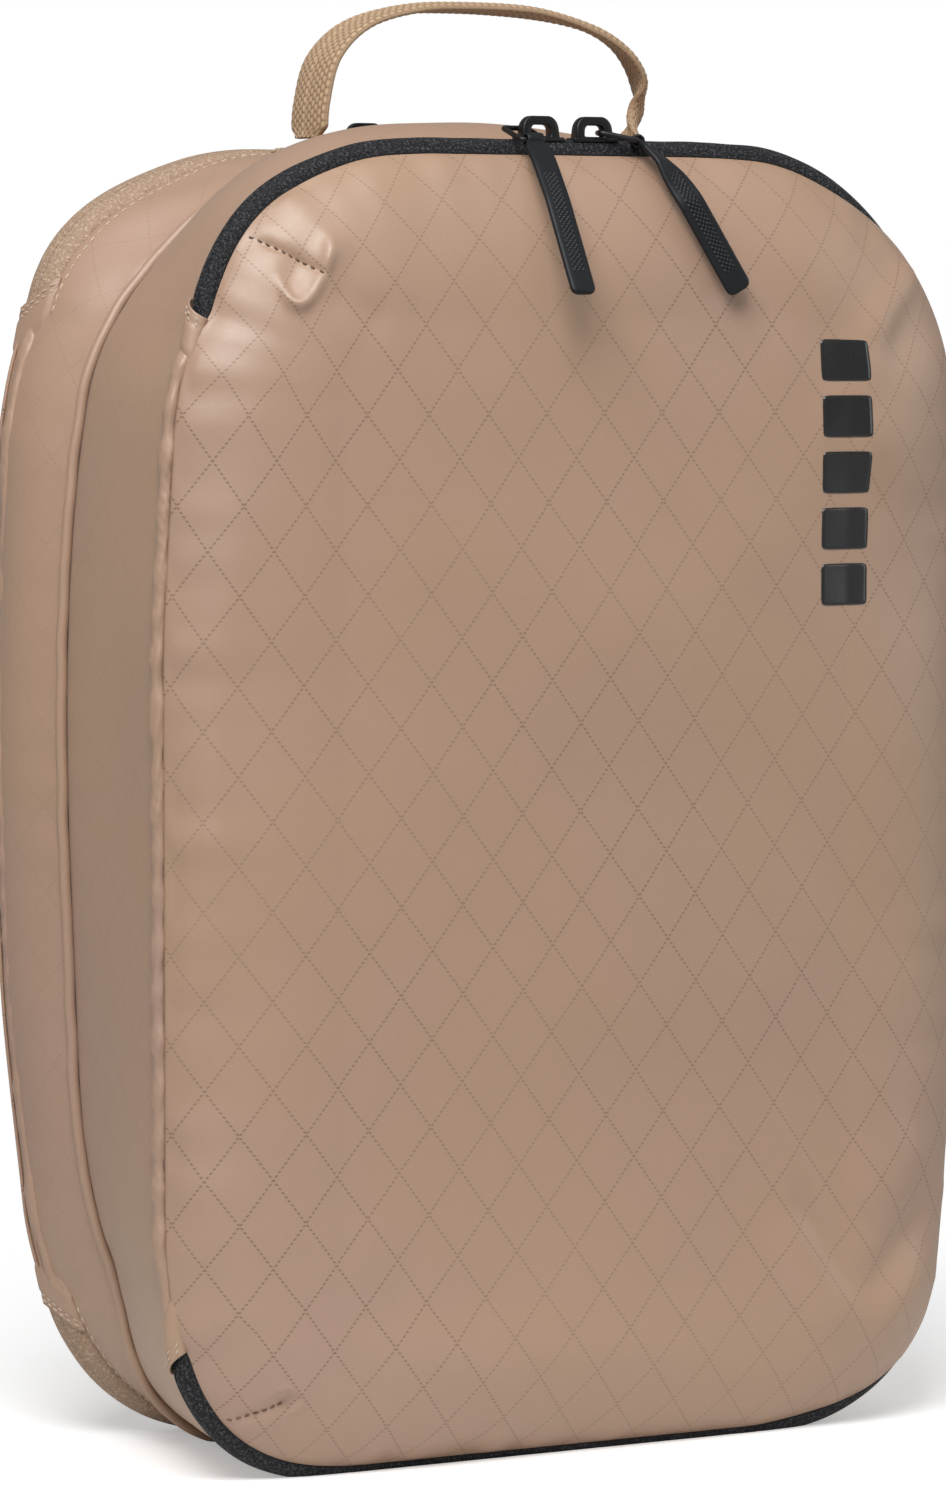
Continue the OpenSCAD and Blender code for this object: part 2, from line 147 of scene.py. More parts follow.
def onLoop(s, grow, y, lowest=0.05 * mm):
    # Points at lengths s round the cube, moved out by grow, at depth y and never under the floor.
    x, z, nx, nz = outline(s)
    return np.stack([x + nx * grow, y + 0 * x, np.maximum(z + nz * grow, lowest)], 1)


def curveThrough(spots, steps):
    # Evenly bending line through the given places.
    spots = np.array(spots, float)
    spots = np.concatenate([2 * spots[:1] - spots[1:2], spots, 2 * spots[-1:] - spots[-2:-1]])
    u = np.linspace(0, 1, steps, endpoint=False)[:, None]
    fine = [b + 0.5 * u * (c - a + u * (2 * a - 5 * b + 4 * c - d + u * (3 * (b - c) + d - a)))
            for a, b, c, d in zip(spots, spots[1:], spots[2:], spots[3:])]
    return np.concatenate(fine + [spots[-2:-1]])


def smooth(t):
    t = np.clip(t, 0, 1)
    return t * t * (3 - 2 * t)


def bell(x, width):
    return np.exp(-(x / width) ** 2)


def ripple(seed, count, lowest, highest):
    # A repeatable sum of waves round the loop, each a whole number of turns, so that the seam closes.
    rng = random.Random(seed)
    return [(rng.randint(lowest, highest), rng.uniform(0, 2 * math.pi), rng.uniform(0.4, 1.0))
            for _ in range(count)]


def rippleAt(waves, s):
    total = sum(size * np.sin(2 * math.pi * turns * s / loopLength + phase) for turns, phase, size in waves)
    return total / len(waves) ** 0.5


def valueNoise(x, z, cell, seed):
    # Smooth random heights on a square lattice.
    rng = np.random.RandomState(seed)
    table = rng.uniform(-1, 1, (64, 64))
    gx, gz = x / cell + 1000, z / cell + 1000
    ix, iz = np.floor(gx).astype(int), np.floor(gz).astype(int)
    fx, fz = smooth(gx - ix), smooth(gz - iz)
    a, b = table[ix % 64, iz % 64], table[(ix + 1) % 64, iz % 64]
    c, d = table[ix % 64, (iz + 1) % 64], table[(ix + 1) % 64, (iz + 1) % 64]
    return (a * (1 - fx) + b * fx) * (1 - fz) + (c * (1 - fx) + d * fx) * fz


def zipShare(s, fade=9 * mm):
    # 1 where the zips run, 0 along the hinges.
    s = np.mod(np.asarray(s, float), loopLength)
    return smooth((s - zipStart + fade) / fade) * smooth((zipEnd + fade - s) / fade)


def rightSide(s):
    # 1 down the right side, where the panel stands over its zip.
    away = np.abs(fromSpot(s, loopLength / 2))
    return smooth((halfSide + cornerRun * 0.8 - away) / (46 * mm))


def sideBelly(s):
    # The rear compartment swells past its straight outline along the hinge side.
    d = fromSpot(s, 0.0)
    swell = 8.0 * mm * smooth((140 * mm - d) / (42 * mm)) * smooth((145 * mm + d) / (100 * mm))
    return swell - 4.5 * mm * archOver(s, loopLength - halfSide - cornerRun / 2, 46 * mm)


def denserSteps(count, spots, width, extra):
    # Places round the loop, closer together near the spots.
    fine = np.arange(8000) / 8000 * loopLength
    weight = 1 + sum(extra * bell(fromSpot(fine, spot), width) for spot in spots)
    total = np.concatenate([[0], np.cumsum(weight)])
    return np.interp(np.arange(count) / count * total[-1], total, np.append(fine, loopLength))


def lengthsOf(points):
    # Running length along a line of points.
    return np.concatenate([[0], np.cumsum(np.linalg.norm(np.diff(points, axis=0), axis=1))])


def unit(vectors):
    return vectors / np.maximum(np.linalg.norm(vectors, axis=-1, keepdims=True), 1e-12)


def link(piece):
    bpy.context.scene.collection.objects.link(piece)
    return piece


def meshFrom(name, points, faces, material, uv):
    # points and uv may be grids, which are taken row by row
    mesh = bpy.data.meshes.new(name)
    mesh.from_pydata(np.reshape(points, (-1, 3)), [], faces)
    mesh.materials.append(material)
    layer = mesh.uv_layers.new(name="cloth")
    loops = np.zeros(len(mesh.loops), np.int32)
    mesh.loops.foreach_get("vertex_index", loops)
    layer.data.foreach_set("uv", np.reshape(uv, (-1, 2))[loops].ravel())
    mesh.polygons.foreach_set("use_smooth", [True] * len(mesh.polygons))
    mesh.update()
    return link(bpy.data.objects.new(name, mesh))


def gridFaces(rows, columns, closeRows=False, closeColumns=False, flip=False):
    faces = []
    for i in range(rows if closeRows else rows - 1):
        for j in range(columns if closeColumns else columns - 1):
            a, b = i * columns + j, i * columns + (j + 1) % columns
            c, d = ((i + 1) % rows) * columns + (j + 1) % columns, ((i + 1) % rows) * columns + j
            faces.append((a, d, c, b) if flip else (a, b, c, d))
    return faces


def fixNormals(piece, join=False):
    # Points the faces outwards. A joined piece is open, so the middle of the cube tells which way is out.
    shape = bmesh.new()
    shape.from_mesh(piece.data)
    if join:
        bmesh.ops.remove_doubles(shape, verts=shape.verts, dist=0.01 * mm)
    bmesh.ops.recalc_face_normals(shape, faces=shape.faces)
    centre = Vector((0, 0, case["height"] / 2))
    if join and sum((f.calc_center_median() - centre).dot(f.normal) for f in shape.faces) < 0:
        bmesh.ops.reverse_faces(shape, faces=shape.faces)
    shape.to_mesh(piece.data)
    shape.free()
    return piece


def tubeFaces(rows, columns, closed=False):
    # The rows run round a tube and the columns along it; an open one gets a face over each end.
    faces = gridFaces(rows, columns, closeRows=True, closeColumns=closed)
    return faces + ([] if closed else [tuple(i * columns + j for i in range(rows)) for j in (0, columns - 1)])


def makeTube(name, rows, uv, material, closed=False):
    return fixNormals(meshFrom(name, rows, tubeFaces(len(rows), len(rows[0]), closed), material, uv))


def applyModifiers(piece):
    bpy.ops.object.select_all(action="DESELECT")
    piece.select_set(True)
    bpy.context.view_layer.objects.active = piece
    for modifier in list(piece.modifiers):
        bpy.ops.object.modifier_apply(modifier=modifier.name)


def thicken(piece, thickness, offset=-1.0, inside=None):
    solid = piece.modifiers.new("wall", "SOLIDIFY")
    solid.thickness = thickness
    solid.offset = offset
    if inside is not None:
        piece.data.materials.append(inside)
        solid.material_offset = 1
    applyModifiers(piece)


def finishPiece(piece, body, slotName, *nodes):
    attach(piece, body)
    if nodes:
        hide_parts(*nodes)
    return piece


# Node helpers and the effects that several materials share.

def feed(tree, socket, value):
    # Links an output to a socket, or sets a plain number or colour on it.
    if isinstance(value, bpy.types.NodeSocket):
        tree.links.new(value, socket)
    else:
        socket.default_value = (*value, 1) if isinstance(value, tuple) else value


def placeNode(tree, kind, values):
    node = tree.nodes.new("ShaderNode" + kind)
    for key, value in values.items():
        feed(tree, node.inputs[key], value)
    return node


def mathNode(tree, operation, *values, clamp=False):
    node = tree.nodes.new("ShaderNodeMath")
    node.operation = operation
    node.use_clamp = clamp
    for socket, value in zip(node.inputs, values):
        feed(tree, socket, value)
    return node.outputs[0]


def mixColour(tree, factor, a, b):
    node = tree.nodes.new("ShaderNodeMix")
    node.data_type = "RGBA"
    for index, value in ((0, factor), (6, a), (7, b)):
        feed(tree, node.inputs[index], value)
    return node.outputs[2]


def bumpNode(tree, height, strength, distance, **under):
    values = {"Strength": strength, "Distance": distance, "Height": height, **under}
    return placeNode(tree, "Bump", values).outputs[0]


def noiseNode(tree, place, scale, detail):
    return placeNode(tree, "TexNoise", {"Scale": scale, "Detail": detail, "Vector": place}).outputs["Fac"]


def newGroup(name, sizes, masks):
    # An effect laid out on the cloth's own coordinates in metres, with its sizes as inputs.
    group = bpy.data.node_groups.new(name, "ShaderNodeTree")
    group.interface.new_socket(name="Cloth", in_out="INPUT", socket_type="NodeSocketVector")
    for label, value in sizes.items():
        socket = group.interface.new_socket(name=label, in_out="INPUT", socket_type="NodeSocketFloat")
        socket.default_value = value
    for label in masks:
        group.interface.new_socket(name=label, in_out="OUTPUT", socket_type="NodeSocketFloat")
    return group, group.nodes.new("NodeGroupInput").outputs, group.nodes.new("NodeGroupOutput").inputs


def placeGroup(tree, group, cloth, **sizes):
    node = tree.nodes.new("ShaderNodeGroup")
    node.node_tree = group
    for label, value in {"Cloth": cloth, **sizes}.items():
        feed(tree, node.inputs[label], value)
    return node.outputs


def makeDottedDiamonds():
    # Rows of dots along the lines of a diamond lattice.
    sizes = {"Cell Width": 18.3 * mm, "Cell Height": 24 * mm, "Dot Pitch": 1.15 * mm, "Line Width": 0.42 * mm}
    group, start, end = newGroup("dottedDiamonds", sizes, ["Mask"])
    u, v, _ = placeNode(group, "SeparateXYZ", {0: start["Cloth"]}).outputs
    across = mathNode(group, "DIVIDE", u, start["Cell Width"])
    up = mathNode(group, "DIVIDE", v, start["Cell Height"])
    row = mathNode(group, "DIVIDE", v, start["Dot Pitch"])
    onDot = mathNode(group, "LESS_THAN", mathNode(group, "PINGPONG", row, 0.5), 0.27)
    masks = []
    for operation in ("ADD", "SUBTRACT"):
        away = mathNode(group, "PINGPONG", mathNode(group, operation, across, up), 0.5)
        away = mathNode(group, "MULTIPLY", away, start["Cell Width"])
        near = mathNode(group, "SUBTRACT", 1.0, mathNode(group, "DIVIDE", away, start["Line Width"]))
        masks.append(mathNode(group, "MULTIPLY", mathNode(group, "MULTIPLY", near, 3.0, clamp=True), onDot))
    feed(group, end["Mask"], mathNode(group, "MAXIMUM", *masks))
    return group


def makeWeave():
    # Over and under threads of a plain weave.
    group, start, end = newGroup("plainWeave", {"Thread": 0.6 * mm}, ["Height", "Tint"])
    waves = []
    for socket in placeNode(group, "SeparateXYZ", {0: start["Cloth"]}).outputs[:2]:
        turns = mathNode(group, "DIVIDE", socket, start["Thread"])
        waves.append(mathNode(group, "SINE", mathNode(group, "MULTIPLY", turns, math.pi)))
    grain = noiseNode(group, start["Cloth"], 900, 2)
    height = mathNode(group, "MULTIPLY_ADD", mathNode(group, "MULTIPLY", *waves), 0.5, grain)
    feed(group, end["Height"], height)
    feed(group, end["Tint"], grain)
    return group


def makeCloudy():
    # Slow drift of colour and of small creases over a cloth.
    sizes = {"Drift Scale": 9.0, "Crease Scale": 55.0}
    group, start, end = newGroup("cloudyCloth", sizes, ["Drift", "Crease"])
    for label, detail in (("Drift", 2.0), ("Crease", 3.0)):
        feed(group, end[label], noiseNode(group, start["Cloth"], start[label + " Scale"], detail))
    return group


dottedDiamonds, plainWeave, cloudyCloth = makeDottedDiamonds(), makeWeave(), makeCloudy()


def newMaterial(name, settings):
    # The material's tree and the sockets of its shader, with the plain settings already made.
    material = bpy.data.materials.new(name)
    material.use_nodes = True
    tree = material.node_tree
    shader = tree.nodes["Principled BSDF"].inputs
    for label, value in settings.items():
        feed(tree, shader[label], value)
    return material, tree, shader


def clothPlace(tree):
    node = tree.nodes.new("ShaderNodeUVMap")
    node.uv_map = "cloth"
    return node.outputs[0]


def tinted(colour, share):
    return tuple(c * share for c in colour)


shellCloth = {
    "tan": (0.398, 0.256, 0.160),
    "rose": (0.386, 0.245, 0.178),
    "dot": (0.180, 0.104, 0.056),
    "roughness": 0.48,
    "sheen": 0.08,
}


def makeShellMaterial(name, dots=0.0, shade=1.0):
    material, tree, shader = newMaterial(name, {
        "Sheen Weight": shellCloth["sheen"], "Sheen Roughness": 0.35, "Sheen Tint": (1.0, 0.88, 0.78),
        "Specular IOR Level": 0.8})
    cloth = clothPlace(tree)
    cloudy, weave = placeGroup(tree, cloudyCloth, cloth), placeGroup(tree, plainWeave, cloth)
    tan, rose, dot = (tinted(shellCloth[key], shade) for key in ("tan", "rose", "dot"))
    drift = mathNode(tree, "MULTIPLY_ADD", cloudy["Drift"], 2.6, -0.8, clamp=True)
    grain = mathNode(tree, "MULTIPLY", weave["Tint"], 0.22)
    colour = mixColour(tree, grain, mixColour(tree, drift, tan, rose), tinted(rose, 0.72))
    normal = bumpNode(tree, cloudy["Crease"], 0.35, 0.6 * mm)
    if dots:
        # the print is worn away in places
        mask = placeGroup(tree, dottedDiamonds, cloth)["Mask"]
        worn = mathNode(tree, "MULTIPLY_ADD", cloudy["Drift"], 1.3, -0.03, clamp=True)
        printed = mathNode(tree, "MULTIPLY", mathNode(tree, "MULTIPLY", mask, worn), dots)
        colour = mixColour(tree, printed, colour, dot)
        normal = bumpNode(tree, mask, 0.25, 0.15 * mm, Normal=normal)
    feed(tree, shader["Base Color"], colour)
    feed(tree, shader["Normal"], bumpNode(tree, weave["Height"], 0.12, 0.1 * mm, Normal=normal))
    rough = mathNode(tree, "MULTIPLY_ADD", weave["Tint"], 0.12, shellCloth["roughness"] - 0.06)
    feed(tree, shader["Roughness"], rough)
    return material


def makeKnitMaterial(name, dark, light, roughness, pitch):
    # Knitted face of a zip tape: small loops with a bright fleck on some of them.
    material, tree, shader = newMaterial(name, {
        "Roughness": roughness, "Sheen Weight": 0.05, "Sheen Roughness": 0.4, "Specular IOR Level": 0.25})
    cloth = clothPlace(tree)
    loops = placeNode(tree, "TexVoronoi", {"Scale": 1 / pitch, "Vector": cloth}).outputs["Distance"]
    away = mathNode(tree, "MULTIPLY", loops, 1.25, clamp=True)
    raised = mathNode(tree, "SUBTRACT", 1.0, away)
    bright = mathNode(tree, "MULTIPLY_ADD", noiseNode(tree, cloth, 0.7 / pitch, 3), 5.0, -2.2, clamp=True)
    feed(tree, shader["Base Color"], mixColour(tree, mathNode(tree, "MULTIPLY", raised, bright), dark, light))
    feed(tree, shader["Normal"], bumpNode(tree, raised, 0.8, 0.3 * mm))
    return material


def makePlainCloth(name, colour, thread, roughness=0.7):
    material, tree, shader = newMaterial(name, {"Roughness": roughness, "Sheen Weight": 0.2})
    weave = placeGroup(tree, plainWeave, clothPlace(tree), Thread=thread)
    threads = mixColour(tree, weave["Tint"], tinted(colour, 1.12), tinted(colour, 0.82))
    feed(tree, shader["Base Color"], threads)
    feed(tree, shader["Normal"], bumpNode(tree, weave["Height"], 0.4, 0.2 * mm))
    return material


webCell = {"lane": 20 * mm / 12, "stitch": 2.3 * mm}


def makeWebMaterial(name, light, dark, roughness):
    # Webbing: light cells in staggered lanes, with painted shade darkening the gaps between them.
    material, tree, shader = newMaterial(name, {"Roughness": roughness, "Specular IOR Level": 0.3})
    cloth = clothPlace(tree)
    u, v, _ = placeNode(tree, "SeparateXYZ", {0: cloth}).outputs
    lane = mathNode(tree, "DIVIDE", u, webCell["lane"])
    odd = mathNode(tree, "PINGPONG", mathNode(tree, "FLOOR", lane), 1.0)
    row = mathNode(tree, "MULTIPLY_ADD", odd, 0.5, mathNode(tree, "DIVIDE", v, webCell["stitch"]))
    waves = [mathNode(tree, "SINE", mathNode(tree, "MULTIPLY", turns, math.pi)) for turns in (row, lane)]
    both = mathNode(tree, "MULTIPLY", *(mathNode(tree, "ABSOLUTE", wave) for wave in waves))
    # the cell mask falls to nothing in the gaps, where the dark colour stands for painted shade
    cell = mathNode(tree, "POWER", both, 0.6)
    weave = placeGroup(tree, plainWeave, cloth, Thread=0.4 * mm)
    grain = mathNode(tree, "MULTIPLY", weave["Tint"], 0.3)
    feed(tree, shader["Base Color"], mixColour(tree, grain, mixColour(tree, cell, dark, light), dark))
    feed(tree, shader["Normal"], bumpNode(tree, weave["Height"], 0.3, 0.15 * mm))
    return material


def makeHardMaterial(name, colour, roughness, grainScale, grain, coat, shine):
    material, tree, shader = newMaterial(name, {
        "Specular IOR Level": shine, "Coat Weight": coat, "Coat Roughness": 0.2})
    noise = noiseNode(tree, placeNode(tree, "TexCoord", {}).outputs["Object"], grainScale, 4)
    feed(tree, shader["Base Color"], mixColour(tree, noise, tinted(colour, 0.8), tinted(colour, 1.35)))
    feed(tree, shader["Roughness"], mathNode(tree, "MULTIPLY_ADD", noise, 0.16, roughness - 0.08))
    feed(tree, shader["Normal"], bumpNode(tree, noise, grain, 0.08 * mm))
    return material


shellMaterial = makeShellMaterial("shellCloth", 1.0)
gussetMaterial = makeShellMaterial("shellClothGusset", 0.22)
foldMaterial = makeShellMaterial("shellClothFold", shade=0.98)
liningMaterial = makePlainCloth("liningCloth", (0.34, 0.25, 0.18), 0.5 * mm)
threadMaterial = makePlainCloth("sewingThread", (0.56, 0.44, 0.32), 0.25 * mm, 0.5)
darkThread = makePlainCloth("seamThread", (0.17, 0.10, 0.058), 0.25 * mm, 0.7)
# the second colour is painted shade for the gaps between the webbing's raised cells
webMaterial = makeWebMaterial("handleWeb", (0.57, 0.40, 0.255), (0.20, 0.125, 0.072), 0.6)
blackKnit = makeKnitMaterial("blackTape", (0.006, 0.0065, 0.008), (0.10, 0.10, 0.11), 0.6, 0.6 * mm)
beigeKnit = makeKnitMaterial("beigeTape", (0.34, 0.23, 0.155), (0.64, 0.49, 0.375), 0.7, 0.7 * mm)
sliderMaterial = makeHardMaterial("blackMetal", (0.006, 0.006, 0.0065), 0.36, 900, 0.12, 0.1, 0.35)
rubberMaterial = makeHardMaterial("pullRubber", (0.008, 0.009, 0.011), 0.48, 2500, 0.35, 0.0, 0.28)
printMaterial = makeHardMaterial("glossPrint", (0.010, 0.010, 0.011), 0.25, 1500, 0.2, 0.4, 0.5)
print("materials made")


# Crowned panels: the front lid and the back flap.
frontPanel = {
    "edgeRun": 45 * mm, "edgeRise": 17 * mm, "crownRise": 5 * mm,
    "around": 440, "edgeRows": 48, "innerRows": 42, "wall": 0.7 * mm, "seed": 11,
    "rimLean": 18, "rimInset": 1.6 * mm, "belly": 0.0,
    "puckerHeight": 0.55 * mm, "puckerReach": 11 * mm, "slack": 1.1 * mm,
    # seams sewn into the corners: start, end, half width, depth
    "darts": [
        {"seam": [(-103.3, 338.2), (-95.8, 334.2), (-86.2, 327.6)], "deep": 1.5,
         "rim": [(-99.3, 329), (-97.9, 322), (-94.6, 319.6), (-90.2, 321.4), (-85.9, 326.6), (-83.1, 333),
                 (-83, 337), (-84.9, 339)],
         "rimWidth": 1.7, "rimHeight": 1.5, "bowl": (-92, 327.5), "bowlWidth": 5.5, "bowlDeep": 1.5},
        {"seam": [(-112.5, 17.2), (-104.5, 18.9), (-94.9, 22.7)], "deep": 1.3,
         "rim": [(-100.5, 25.2), (-96, 26.6), (-92.2, 26), (-89.9, 23.6), (-90.8, 20.9), (-94.9, 19.6)],
         "rimWidth": 1.1, "rimHeight": 0.5, "bowl": (-94.5, 23), "bowlWidth": 2.8, "bowlDeep": 0.7},
    ],
    # soft folds of loose cloth: start, end, half width, height
    "folds": [((-97, 318), (-78, 338), 4.0, 1.5), ((-84, 322), (-66, 312), 6.0, -1.0),
              ((113, 331), (88, 309), 6.0, 2.2), ((108, 318), (84, 286), 8.0, -1.1),
              ((89, 310), (86, 270), 7.0, 1.3), ((64, 70), (86, 38), 4.5, -1.9),
              ((86, 38), (114, 64), 6.5, -1.7), ((58, 60), (80, 28), 7.0, 1.6),
              ((88, 64), (108, 82), 11.0, 1.6), ((92, 30), (112, 44), 6.0, 1.2),
              ((-118, 92), (-96, 22), 9.0, 1.2), ((-119, 120), (-112, 260), 6.0, 0.9),
              ((-40, 300), (-100, 60), 26.0, 0.9), ((30, 300), (60, 90), 30.0, -0.8),
              ((-86, 36), (40, 24), 9.0, 0.8)],
}
backPanel = {
    "edgeRun": 32 * mm, "edgeRise": 9 * mm, "crownRise": 3 * mm,
    "around": 400, "edgeRows": 34, "innerRows": 40, "wall": 0.7 * mm, "seed": 23,
    "rimLean": 6, "rimInset": -0.4 * mm, "belly": 1.0,
    "puckerHeight": 0.45 * mm, "puckerReach": 9 * mm, "slack": 0.9 * mm,
    "darts": [
        {"seam": [(-101.5, 337), (-86, 326)], "deep": 1.0, "rim": [(-97, 323), (-86, 320), (-80, 330)],
         "rimWidth": 3.0, "rimHeight": 0.7, "bowl": (-89, 327), "bowlWidth": 5, "bowlDeep": 0.7},
        {"seam": [(-112, 18), (-95, 27)], "deep": 1.0, "rim": [(-104, 30), (-92, 33), (-88, 22)],
         "rimWidth": 3.0, "rimHeight": 0.6, "bowl": (-97, 25), "bowlWidth": 4.5, "bowlDeep": 0.6},
    ],
    "folds": [((112, 330), (90, 305), 7.0, 1.2), ((104, 30), (74, 62), 9.0, 1.3),
              ((-60, 290), (-20, 80), 24.0, 0.9), ((70, 280), (30, 70), 28.0, -0.8)],
}


def strokeField(x, z, start, end, halfWidth):
    # 1 along a stroke between two places on the panel, falling off to its sides and ends.
    a, b = np.array(start) * mm, np.array(end) * mm
    run = b - a
    length = np.linalg.norm(run)
    along = ((x - a[0]) * run[0] + (z - a[1]) * run[1]) / length ** 2
    side = ((x - a[0]) * run[1] - (z - a[1]) * run[0]) / length
    fade = smooth((along + 0.15) / 0.4) * smooth((1.15 - along) / 0.4)
    return bell(side, halfWidth * mm) * fade


def nearPath(x, z, path):
    # Distance from a bent line on the panel, and how far along it the nearest place lies, 0 to 1.
    spots = curveThrough(path, 12) * mm
    cuts = lengthsOf(spots)
    away, share = np.full(x.shape, 1.0), np.zeros(x.shape)
    for a, b, gone, reached in zip(spots, spots[1:], cuts, cuts[1:]):
        run = reached - gone
        t = np.clip(((x - a[0]) * (b[0] - a[0]) + (z - a[1]) * (b[1] - a[1])) / run ** 2, 0, 1)
        here = np.hypot(x - a[0] - t * (b[0] - a[0]), z - a[1] - t * (b[1] - a[1]))
        share = np.where(here < away, (gone + t * run) / cuts[-1], share)
        away = np.minimum(away, here)
    return away, share


def panelGrid(rimY, side, shape):
    # Rows of points from the rim inwards, with the cloth's own flat coordinates.
    s = denserSteps(shape["around"], [cornerSpots[0], cornerSpots[3]], 20 * mm, 3.0)
    run, rise, crown = shape["edgeRun"], shape["edgeRise"], shape["crownRise"]
    start = math.radians(shape["rimLean"])
    rim = shape["rimInset"] * (zipShare(s) - 1.5 * rightSide(s)) - shape["belly"] * sideBelly(s)
    rows, insets, edge = [], [], []
    for a in start + (math.pi / 2 - start) * np.linspace(0, 1, shape["edgeRows"]) ** 1.1:
        share = 1 - math.cos(a) / math.cos(start)
        edge.append((run * share, rise * (math.sin(a) - math.sin(start)) / (1 - math.sin(start))))
        x, z, _, _ = outline(s, -edge[-1][0] - rim * (1 - share) ** 1.5)
        rows.append(np.stack([x, np.full_like(x, rimY + side * edge[-1][1]), z], 1))
        insets.append(edge[-1][0])
    cuts = lengthsOf(edge)
    uv = [np.stack(outline(s, cuts[-1] - cut - run)[:2], 1) for cut in cuts]
    lastX, lastZ = rows[-1][:, 0], rows[-1][:, 2]
    midZ = case["height"] / 2
    for k in range(1, shape["innerRows"]):
        t = 1 - k / shape["innerRows"]
        x, z = lastX * t, midZ + (lastZ - midZ) * t
        rows.append(np.stack([x, np.full_like(x, rimY + side * (rise + crown * (1 - t * t))), z], 1))
        uv.append(np.stack([x, z], 1))
        insets.append(run + (1 - t) * (case["width"] / 2 - run))
    return s, np.array(rows), np.array(uv), np.array(insets)[:, None]


def panelPush(x, z, inset, loop, shape):
    # How far the cloth stands out of the plain crown: puckers at the rim, slack, drape, folds and darts.
    seed = shape["seed"]
    pucker = rippleAt(ripple(seed, 26, 30, 95), loop) * shape["puckerHeight"]
    slack = rippleAt(ripple(seed + 1, 9, 5, 16), loop) * shape["slack"]
    drape = valueNoise(x, z, 46 * mm, seed) * mm + valueNoise(x + z * 0.4, z, 21 * mm, seed + 5) * 0.35 * mm
    push = (pucker * np.exp(-inset / shape["puckerReach"]) * smooth(inset / (2 * mm))
            + slack * smooth(inset / (10 * mm)) * bell(inset - 22 * mm, 26 * mm)
            + drape * smooth(inset / (30 * mm)))
    for start, end, halfWidth, height in shape["folds"]:
        push = push + strokeField(x, z, start, end, halfWidth) * height * mm * smooth(inset / (4 * mm))
    hold = smooth((inset - 1 * mm) / (5 * mm))
    for dart in shape["darts"]:
        away, _ = nearPath(x, z, dart["seam"])
        line = 0.7 * np.exp(-away / (0.9 * mm)) + 0.3 * bell(away, 2.6 * mm)
        near, share = nearPath(x, z, dart["rim"])
        rim = bell(near, dart["rimWidth"] * mm) * smooth((share + 0.05) / 0.3) * smooth((1.05 - share) / 0.3)
        bowl = bell(np.hypot(x - dart["bowl"][0] * mm, z - dart["bowl"][1] * mm), dart["bowlWidth"] * mm)
        push = push + (rim * dart["rimHeight"] - bowl * dart["bowlDeep"] - line * dart["deep"]) * mm * hold
    return push


def makePanel(name, rimY, side, shape, body, node):
    s, p, uv, inset = panelGrid(rimY, side, shape)
    # p is rows x columns x 3, and its columns run round the loop
    n = unit(np.cross(np.roll(p, -1, 1) - np.roll(p, 1, 1), np.gradient(p, axis=0)))
    n = n * np.sign(np.sum(n[20, :, 1]) * side)
    p = p + n * panelPush(p[:, :, 0], p[:, :, 2], inset, s[None, :], shape)[:, :, None]
    p[:, :, 2] = np.maximum(p[:, :, 2], 0.1 * mm)
    # a short hem turned towards the zip, so that the rim has no raw edge
    p = np.concatenate([p[:1] - [0, side * 0.9 * mm, 0], p])
    rows, columns = p.shape[:2]
    points = np.vstack([p.reshape(-1, 3), p[-1].mean(0) + [0, side * 0.02 * mm, 0]])
    flat = np.vstack([uv[0], uv.reshape(-1, 2), (0.0, case["height"] / 2)])
    tail, middle = (rows - 1) * columns, rows * columns
    ring = [(tail + j, tail + (j + 1) % columns) for j in range(columns)]
    faces = gridFaces(rows, columns, closeColumns=True, flip=side > 0)
    faces += [(a, middle, b) if side > 0 else (a, b, middle) for a, b in ring]
    panel = fixNormals(meshFrom(name, points, faces, shellMaterial, flat))
    thicken(panel, shape["wall"], inside=liningMaterial)
    finishPiece(panel, body, "shell_fabric", node)
    return panel


frontPanelPiece = makePanel("front_panel_cloth", case["lidRim"], -1, frontPanel, "front_lid", "front_panel")
makePanel("back_panel_cloth", case["flapRim"], 1, backPanel, "back_flap", "back_panel")
print("panels made")


# The two gussets and the seam between them.
gusset = {
    "around": 900, "across": 26, "wall": 0.7 * mm, "belly": 1.2 * mm, "foldHeight": 0.8 * mm,
    "cornerDip": 12 * mm, "dipWidth": 52 * mm, "lowDip": 11 * mm, "seed": 5,
    "seamRadius": 1.7 * mm, "seamOut": 0.5 * mm, "groove": 0.8 * mm, "topBelly": 6.5 * mm,
    "rearDip": 3.0 * mm,
}


def seamDip(s):
    # The middle seam pulls in round the corners, where the cloth has no filling behind it.
    depth = sum(gusset["cornerDip"] * bell(fromSpot(s, spot), gusset["dipWidth"]) for spot in cornerSpots[:2])
    # lower down it pulls in above the corners and swells again under them
    for spot, way in ((cornerSpots[2] - 24 * mm, -1), (cornerSpots[3] + 24 * mm, 1)):
        d = fromSpot(s, spot) * way
        depth = depth + gusset["lowDip"] * bell(d, np.where(d > 0, 38 * mm, 24 * mm))
    return depth


def topBelly(s):
    # The filled front compartment pushes the top of its gusset up, most of all left of the handle's middle.
    d = fromSpot(s, halfSide + cornerRun + 30 * mm)
    return gusset["topBelly"] * np.exp(-np.abs(d / np.where(d > 0, 54 * mm, 74 * mm)) ** 2.4)


def rearDip(s):
    # The hem beside the rear zip draws in a little round the corners.
    return gusset["rearDip"] * sum(bell(fromSpot(s, spot), 42 * mm) for spot in cornerSpots)


